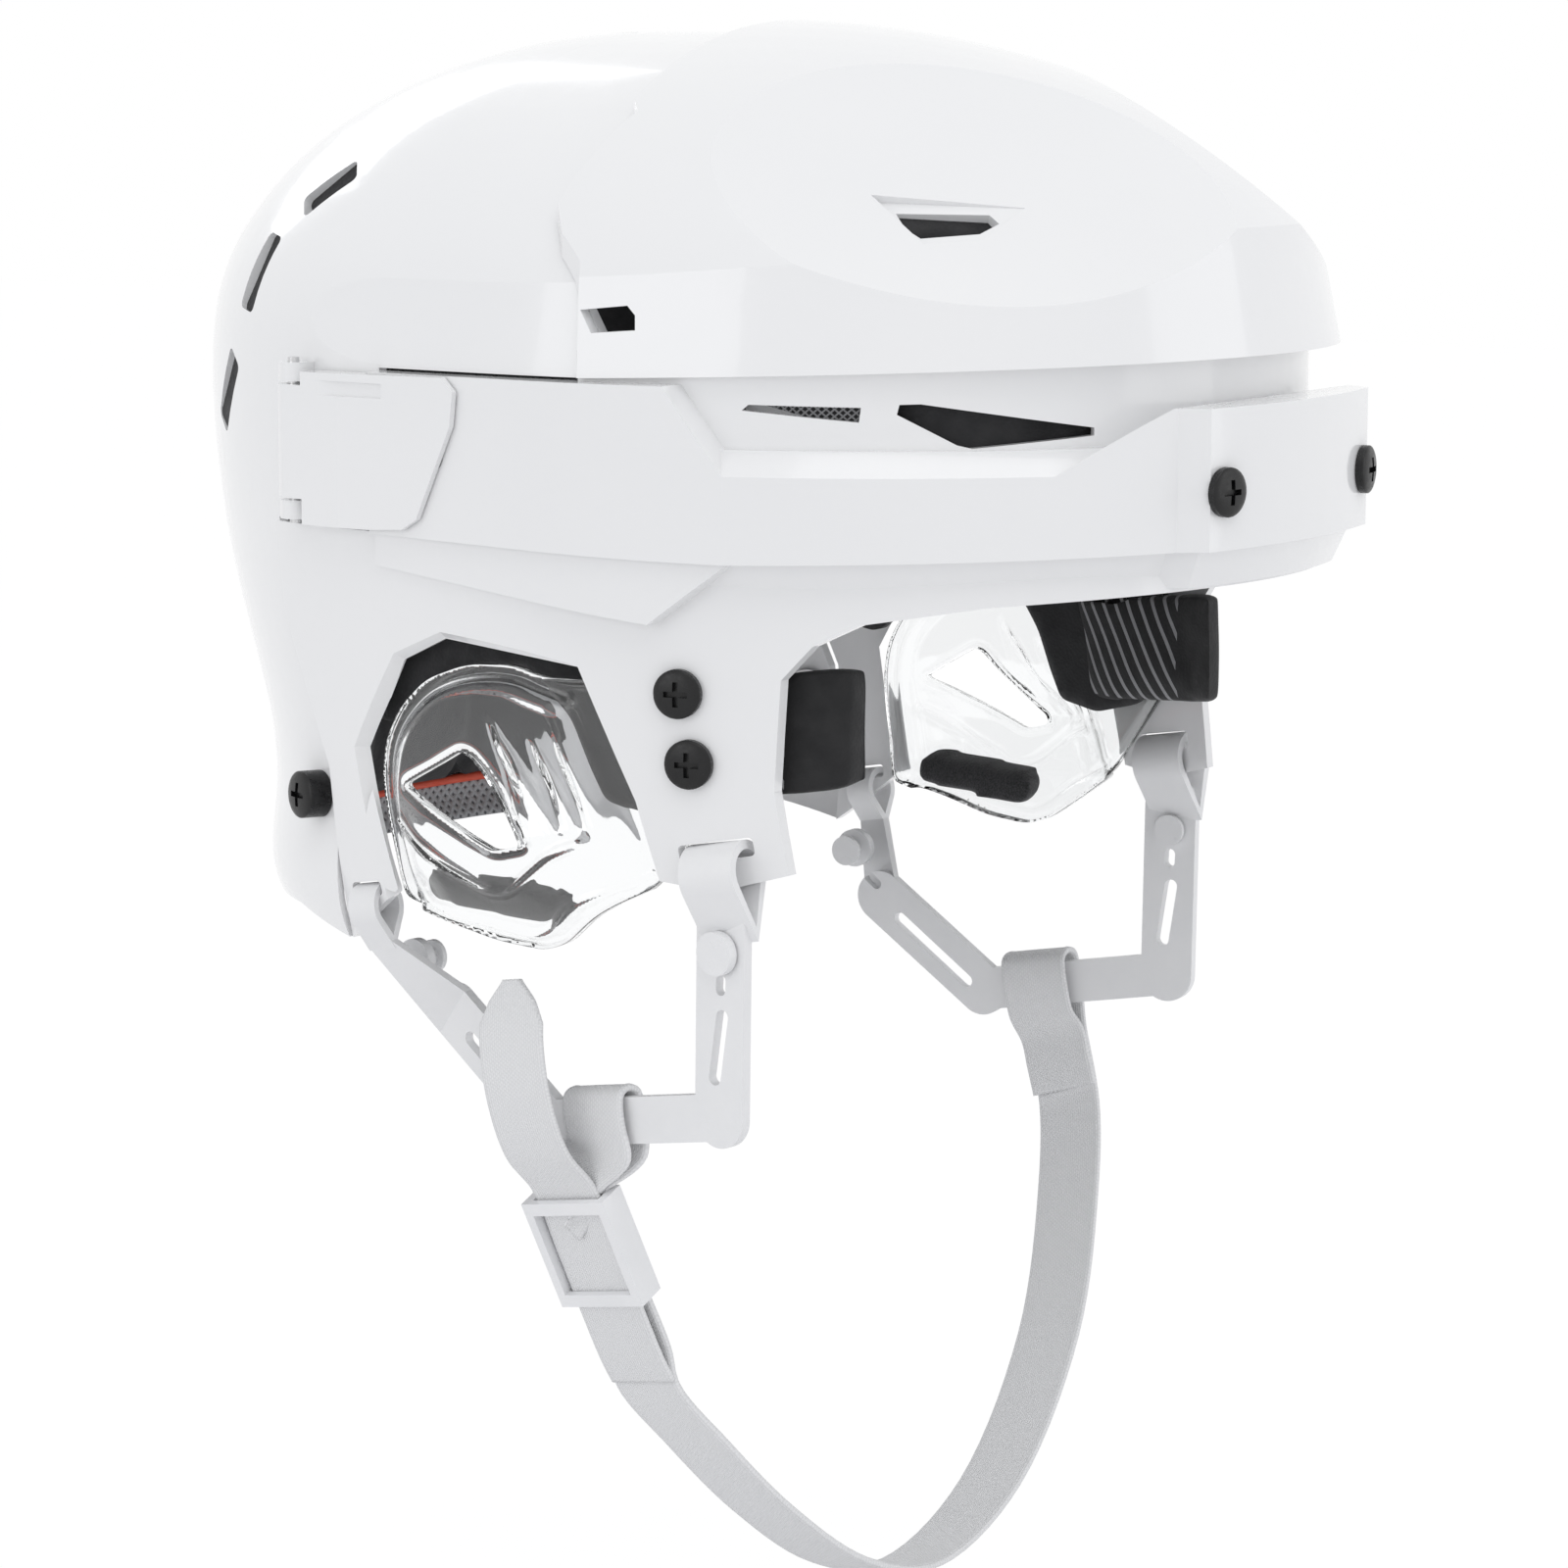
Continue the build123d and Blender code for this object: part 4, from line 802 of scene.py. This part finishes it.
# ---- fabric and cord at the nape ----
NAPE_TOP, NAPE_FOLD, NAPE_LOW, NAPE_HALF = -0.0672, -0.0705, -0.0765, 0.040
NAPE_COLUMNS, NAPE_ROWS, NAPE_LIFTS = 65, 13, (0.0016, 0.0006)
NAPE_START, NAPE_SEARCH, NAPE_STEP = 0.05, 0.03, 0.001  # rays: first y, reach and step upwards
NAPE_FAR, NAPE_ORDER = 0.1, 4  # y where nothing is met; the order of the smoothing fit
CORD_RADIUS, CORD_SIDES, CORD_LIFT, CORD_UP = 0.0011, 10, 0.0022, 0.0004


def nape_line(trees, columns, height):
    """Smooth line of the inner face behind the nape; where none is met, the one just above."""
    line = []
    for x in columns:
        z, hits = height, []
        while not hits and z < NAPE_TOP + NAPE_SEARCH:
            hits = [tree.ray_cast((x, NAPE_START, z), (0, 1, 0))[0] for tree in trees]
            hits = [hit.y for hit in hits if hit is not None]
            z += NAPE_STEP
        line.append(min(hits, default=NAPE_FAR))
    return np.polyval(np.polyfit(columns, line, NAPE_ORDER), columns)


def nape_sheet(columns, high, low):
    """Fabric from the nape pad's face down to the shell."""
    verts, faces = [], []
    for lift in NAPE_LIFTS:
        for z in np.linspace(NAPE_TOP, NAPE_LOW, NAPE_ROWS):
            share = ease((NAPE_FOLD - z) / (NAPE_FOLD - NAPE_LOW))
            verts += [(x, a * (1 - share) + b * share - lift, z)
                      for x, a, b in zip(columns, high, low)]
    wide, tall = NAPE_COLUMNS, NAPE_ROWS
    layer = wide * tall
    for row in range(tall - 1):
        for col in range(wide - 1):
            k = row * wide + col
            faces.append((k, k + 1, k + wide + 1, k + wide))
            faces.append((layer + k, layer + k + wide, layer + k + wide + 1, layer + k + 1))
    rim = list(range(wide)) + [row * wide + wide - 1 for row in range(1, tall)]
    rim += [(tall - 1) * wide + col for col in range(wide - 2, -1, -1)]
    rim += [row * wide for row in range(tall - 2, 0, -1)]
    faces += [(b, a, a + layer, b + layer) for a, b in zip(rim, rim[1:] + rim[:1])]
    return new_object("nape_liner", verts, faces, MAT["perforated"])


def nape_cord(columns, high):
    """Cord sewn along the fabric's top edge."""
    path = np.stack([columns, high - CORD_LIFT, np.full(NAPE_COLUMNS, NAPE_TOP + CORD_UP)], 1)
    verts, up = [], np.array((0, 0, 1))
    for k, point in enumerate(path):
        out = unit(np.cross(unit(path[min(k + 1, len(path) - 1)] - path[max(k - 1, 0)]), up))
        for j in range(CORD_SIDES):
            turn = 2 * math.pi * j / CORD_SIDES
            verts.append(point + (out * math.cos(turn) + up * math.sin(turn)) * CORD_RADIUS)
    return new_object("nape_cord", verts, tube_faces(CORD_SIDES, len(path)), MAT["cord"])


def make_nape_trim():
    graph = bpy.context.evaluated_depsgraph_get()
    trees = [BVHTree.FromObject(obj, graph)
             for obj in (bpy.data.objects["nape_pad_foam"], nodes["rear_shell"])]
    columns = np.linspace(-NAPE_HALF, NAPE_HALF, NAPE_COLUMNS)
    high, low = (nape_line(trees, columns, height) for height in (NAPE_TOP, NAPE_LOW))
    for obj in (nape_sheet(columns, high, low), nape_cord(columns, high)):
        face_outwards(obj)
        smooth_shade(obj)
        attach(obj, "rear_shell_group")


make_nape_trim()


# ---- chin strap webbing, in metres; what is named for one side is on the right ----
STRAP_WIDTH, STRAP_THICK = 0.017, 0.0015
LAYER = 0.00165  # the two layers of webbing lie this far to each side of their middle
STRAP_STEPS = 7  # points of the curve to each run
# Directions of the sling's bar, and the middle of the loop round it, 3.5 mm along the bar.
BAR_LINE = np.array([0.100344, 0.980026, -0.171700])
BAR_UP = np.array([0.017489, 0.170807, 0.985149])
BAR_OUT = np.array([-0.994799, 0.101857, 0.0])
RIGHT_BAR = np.array([-0.0894182, -0.0237777, -0.1140620]) + BAR_LINE * 0.0035
# Middle of the buckle, and the directions down the strap, across it and out of its face there.
MIDDLE = np.array([-0.086, -0.0145, -0.1433])
DOWN = np.array([0.350161, -0.157072, -0.923426])
ACROSS = np.array([-0.015995, -0.98667, 0.161946])
OUTWARD = np.array([-0.936554, -0.041937, -0.348006])
BUCKLE_TOP = 0.015  # how far above its middle the strap leaves the buckle
BUCKLE_RUN = (-0.013, 0.0, 0.014, 0.0275)  # points of the inner layer, down from the middle
# Where each loop's webbing runs to below its bar; the far one is on the left side, mirrored.
NEAR_GOAL = MIDDLE - DOWN * BUCKLE_TOP - OUTWARD * LAYER
FAR_GOAL = np.array([-0.0872, -0.0292, -0.1425])
FAR_ROOM = 0.75  # the far loop is this much wider each way, in millimetres, to clear its bar
# Under the chin, from below the buckle to the left loop
CHIN = [MIDDLE + DOWN * 0.036, (-0.065, -0.027, -0.190), (-0.049, -0.0335, -0.208),
        (-0.026, -0.0385, -0.225), (0.0, -0.041, -0.232), (0.032, -0.042, -0.221),
        (0.060, -0.0405, -0.192), (0.079, -0.034, -0.163), FAR_GOAL * FROM_RIGHT["left"]]
# The free tail, from below the buckle up through it to its tip
TAIL = [MIDDLE + DOWN * 0.034 + OUTWARD * 0.0009,
        MIDDLE + DOWN * BUCKLE_RUN[-1] + OUTWARD * LAYER, MIDDLE + OUTWARD * LAYER,
        MIDDLE - DOWN * BUCKLE_TOP + OUTWARD * LAYER,
        (-0.0994, -0.010, -0.1215), (-0.1022, -0.0075, -0.110), (-0.1014, -0.0048, -0.098),
        (-0.0992, -0.0034, -0.089), (-0.0984, -0.0029, -0.0846)]
# The tip's share of the width, and the points and power by which the tail narrows to it
TIP_WIDTH, TIP_STEPS, TIP_POWER = 0.26, 11.0, 1.1
# The loop's turn round the bar: out and up from the bar's middle, in millimetres.
LOOP_TURN = ((-2.6, -6.2), (-3.4, -1.5), (-3.4, 3.2), (-2.5, 5.9), (0.0, 6.9), (2.5, 5.9),
             (3.4, 3.2), (3.4, -1.5), (2.6, -6.2))
LOOP_TOP = 6.9  # the highest of those
LOOP_JOIN = 0.0125  # how far below the bar's middle the loop's two layers meet
LOOP_SEWN = (0.0260, 0.0190, LOOP_JOIN)  # the sewn end's points below the bar's middle
LOOP_INNER, LOOP_OUTER = 0.0010, 0.0008  # how far in and out the two layers lie there
LOOP_TWIST = 0.6  # share of the bar's direction in the width where the loop leaves the bar
# One half of the webbing's section: shares of its width and thickness.
WEBBING_EDGE = [(-0.5, 0.0), (-0.485, 0.42), (-0.44, 0.56), (-0.4, 0.48), (0.0, 0.5), (0.4, 0.48),
                (0.44, 0.56), (0.485, 0.42), (0.5, 0.0)]
STITCH_LENGTH, STITCH_RADIUS, STITCH_SIDES = 0.0017, 0.00022, 6
STITCH_RINGS = ((-0.5, 0.0), (-0.25, 1.0), (0.25, 1.0), (0.5, 0.0))  # place along it, and rise
STITCH_COLUMNS, STITCH_ROWS, STITCH_PITCH, STITCH_LIFT = (-0.0046, 0.0046), 7, 0.0019, 0.0016


def ribbon(name, points, acrosses, widths=None):
    """Webbing along points, with its width along acrosses and a rounded woven edge."""
    points, acrosses = np.array(points), np.array(acrosses)
    tangents = np.gradient(points, axis=0)
    steps = np.linalg.norm(np.diff(points, axis=0), axis=1)
    lengths = np.concatenate([[0.0], np.cumsum(steps)])
    profile = WEBBING_EDGE + [(u, -v) for u, v in reversed(WEBBING_EDGE[1:-1])]
    verts, uvs = [], []
    for i, point in enumerate(points):
        a = unit(acrosses[i])
        n = unit(np.cross(tangents[i], a))
        width = STRAP_WIDTH if widths is None else widths[i]
        for u, v in profile:
            verts.append(point + a * (u * width) + n * (v * STRAP_THICK))
            uvs.append((u * width, lengths[i]))
    obj = new_object(name, verts, tube_faces(len(profile), len(points)), MAT["webbing"])
    layer = obj.data.uv_layers.new(name="UVMap")
    for loop in obj.data.loops:
        layer.data[loop.index].uv = uvs[loop.vertex_index]
    face_outwards(obj)
    smooth_shade(obj)
    return obj


def loop_frame(goal):
    """Directions of the webbing under the right bar: down to goal, and level out of its face."""
    down = unit(goal - RIGHT_BAR)
    return down, unit(BAR_OUT - down * (BAR_OUT @ down))


def loop_points(goal, room=0.0):
    """Webbing folded over the right bar: up inside from its sewn end, over, and down to goal."""
    down, level = loop_frame(goal)
    out = [RIGHT_BAR + down * low - level * LOOP_INNER for low in LOOP_SEWN]
    for wide, high in LOOP_TURN:
        out.append(RIGHT_BAR + BAR_OUT * ((wide + np.sign(wide) * room) * MM)
                   + BAR_UP * ((high + room * high / LOOP_TOP) * MM))
    return out + [RIGHT_BAR + down * LOOP_JOIN + level * LOOP_OUTER]


def loop_widths(goal):
    """Width directions of the loop: along the bar round it, and square to the webbing below."""
    down = loop_frame(goal)[0]
    square = unit(-BAR_LINE + down * (BAR_LINE @ down))
    turned = unit(-BAR_LINE * LOOP_TWIST + square * (1 - LOOP_TWIST))
    round_bar = [turned] + [-BAR_LINE] * (len(LOOP_TURN) - 2) + [turned]
    return [square] * len(LOOP_SEWN) + round_bar + [square]


def chin_route():
    """Centre line and width directions, from the sewn end inside the right bar to the left one."""
    mirror = FROM_RIGHT["left"]
    middle = [MIDDLE + DOWN * d - OUTWARD * LAYER for d in BUCKLE_RUN]
    middle += [np.array(p) for p in CHIN]
    left_turn = [p * mirror for p in loop_points(FAR_GOAL, FAR_ROOM)]
    left_wide = [w * mirror for w in loop_widths(FAR_GOAL)]
    points = loop_points(NEAR_GOAL) + middle + left_turn[::-1]
    acrosses = loop_widths(NEAR_GOAL) + [ACROSS] * len(middle) + left_wide[::-1]
    return points, acrosses


def stitches(name, centers, run, facing):
    """Rows of short raised threads."""
    verts, faces = [], []
    run, facing = unit(run), unit(facing)
    side = unit(np.cross(run, facing))
    for center in centers:
        base = len(verts)
        for t, rise in STITCH_RINGS:
            for k in range(STITCH_SIDES):
                angle = 2 * math.pi * k / STITCH_SIDES
                out = rise * STITCH_RADIUS + STITCH_RADIUS * math.sin(angle)
                verts.append(center + run * (t * STITCH_LENGTH) + facing * out
                             + side * (STITCH_RADIUS * math.cos(angle)))
        faces += [tuple(base + k for k in face)
                  for face in tube_faces(STITCH_SIDES, len(STITCH_RINGS), ends=False)]
    obj = new_object(name, verts, faces, MAT["snap"])
    smooth_shade(obj)
    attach(obj, "chin_strap")


def make_strap():
    points, acrosses = chin_route()
    strap = ribbon("chin_webbing", curve_through(points, STRAP_STEPS),
                   curve_through(acrosses, STRAP_STEPS))
    curve = curve_through(TAIL, STRAP_STEPS)
    shares = [TIP_WIDTH + (1 - TIP_WIDTH) * (left / TIP_STEPS) ** TIP_POWER
              for left in reversed(range(len(curve)))]
    free = ribbon("strap_tail_webbing", curve, [ACROSS] * len(curve),
                  [STRAP_WIDTH * min(1.0, share) for share in shares])
    for obj in (strap, free):
        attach(obj, "chin_strap")
    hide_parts("chin_strap")
    for (side, flip), goal in zip(FROM_RIGHT.items(), (NEAR_GOAL, FAR_GOAL)):
        down, level = loop_frame(goal)
        wide = unit(np.cross(down, level))
        centers = [RIGHT_BAR + down * (LOOP_JOIN + STITCH_PITCH * row) + level * STITCH_LIFT
                   + wide * off for off in STITCH_COLUMNS for row in range(STITCH_ROWS)]
        stitches(side + "_strap_stitches", [c * flip for c in centers], down * flip, level * flip)


make_strap()


# ---- floor, light and background ----
FLOOR_HALF, FLOOR_LEVEL, FLOOR_COLOR = 4.0, -0.262, (0.86, 0.86, 0.87, 1)
# How bright the floor looks by itself, and what share of that camera, mirror and glass rays see
FLOOR_GLOW, FLOOR_SEEN = 1.03, 0.93
WORLD_LIGHT, WORLD_COLOR = 0.74, (0.97, 0.98, 1.0, 1)
# Place, target, size and power of each lamp
LAMPS = {
    "key_top": ((-0.4, -0.5, 1.3), (0, 0, 0), (1.2, 1.2), 4.0),
    "fill_front": ((0.5, -1.5, 0.25), (0, 0, -0.02), (0.9, 1.2), 2.6),
    "side_soft": ((-1.5, 0.25, 0.35), (0, 0, 0), (0.9, 0.7), 2.2),
    "rear_rim": ((0.6, 1.3, 0.8), (0, 0, 0.02), (1.0, 0.6), 2.4),
}


def seen_share(tree, share):
    """Share of the plain background that camera, mirror and glass rays see."""
    light = tree.nodes.new("ShaderNodeLightPath")
    value = light.outputs["Is Camera Ray"]
    for name in ("Is Glossy Ray", "Is Transmission Ray"):
        either = tree.nodes.new("ShaderNodeMath")
        either.operation = "MAXIMUM"
        tree.links.new(value, either.inputs[0])
        tree.links.new(light.outputs[name], either.inputs[1])
        value = either.outputs[0]
    part = tree.nodes.new("ShaderNodeMath")
    part.operation = "MULTIPLY"
    part.inputs[1].default_value = share
    tree.links.new(value, part.inputs[0])
    return part.outputs[0]


def mix_into(tree, share, plain, seen, out):
    mix = tree.nodes.new("ShaderNodeMixShader")
    tree.links.new(share, mix.inputs[0])
    tree.links.new(plain.outputs[0], mix.inputs[1])
    tree.links.new(seen.outputs[0], mix.inputs[2])
    tree.links.new(mix.outputs[0], out.inputs["Surface"])


def empty_tree(owner):
    owner.use_nodes = True
    owner.node_tree.nodes.clear()
    return owner.node_tree


def make_floor():
    corners = [(x * FLOOR_HALF, y * FLOOR_HALF, FLOOR_LEVEL)
               for x, y in ((-1, -1), (1, -1), (1, 1), (-1, 1))]
    floor = new_object("floor", corners, [(0, 1, 2, 3)], None)
    pale = bpy.data.materials.new("floor_pale")
    tree = empty_tree(pale)
    diffuse = tree.nodes.new("ShaderNodeBsdfDiffuse")
    diffuse.inputs["Color"].default_value = FLOOR_COLOR
    glow = tree.nodes.new("ShaderNodeEmission")
    glow.inputs["Strength"].default_value = FLOOR_GLOW
    mix_into(tree, seen_share(tree, FLOOR_SEEN), diffuse, glow,
             tree.nodes.new("ShaderNodeOutputMaterial"))
    floor.data.materials.append(pale)


def make_world():
    scene.world = bpy.data.worlds.new("studio")
    tree = empty_tree(scene.world)
    lit, seen = (tree.nodes.new("ShaderNodeBackground") for _ in range(2))
    for shader, color, strength in ((lit, WORLD_COLOR, WORLD_LIGHT), (seen, (1, 1, 1, 1), 1.0)):
        shader.inputs["Color"].default_value = color
        shader.inputs["Strength"].default_value = strength
    mix_into(tree, seen_share(tree, 1.0), lit, seen, tree.nodes.new("ShaderNodeOutputWorld"))


def area_light(name, place, target, size, power):
    data = bpy.data.lights.new(name, "AREA")
    data.shape, data.size, data.size_y = "RECTANGLE", size[0], size[1]
    data.energy = power
    obj = bpy.data.objects.new(name, data)
    obj.location = place
    obj.rotation_euler = (Vector(place) - Vector(target)).to_track_quat("Z", "Y").to_euler()
    scene.collection.objects.link(obj)


make_floor()
make_world()
for lamp, setting in LAMPS.items():
    area_light(lamp, *setting)
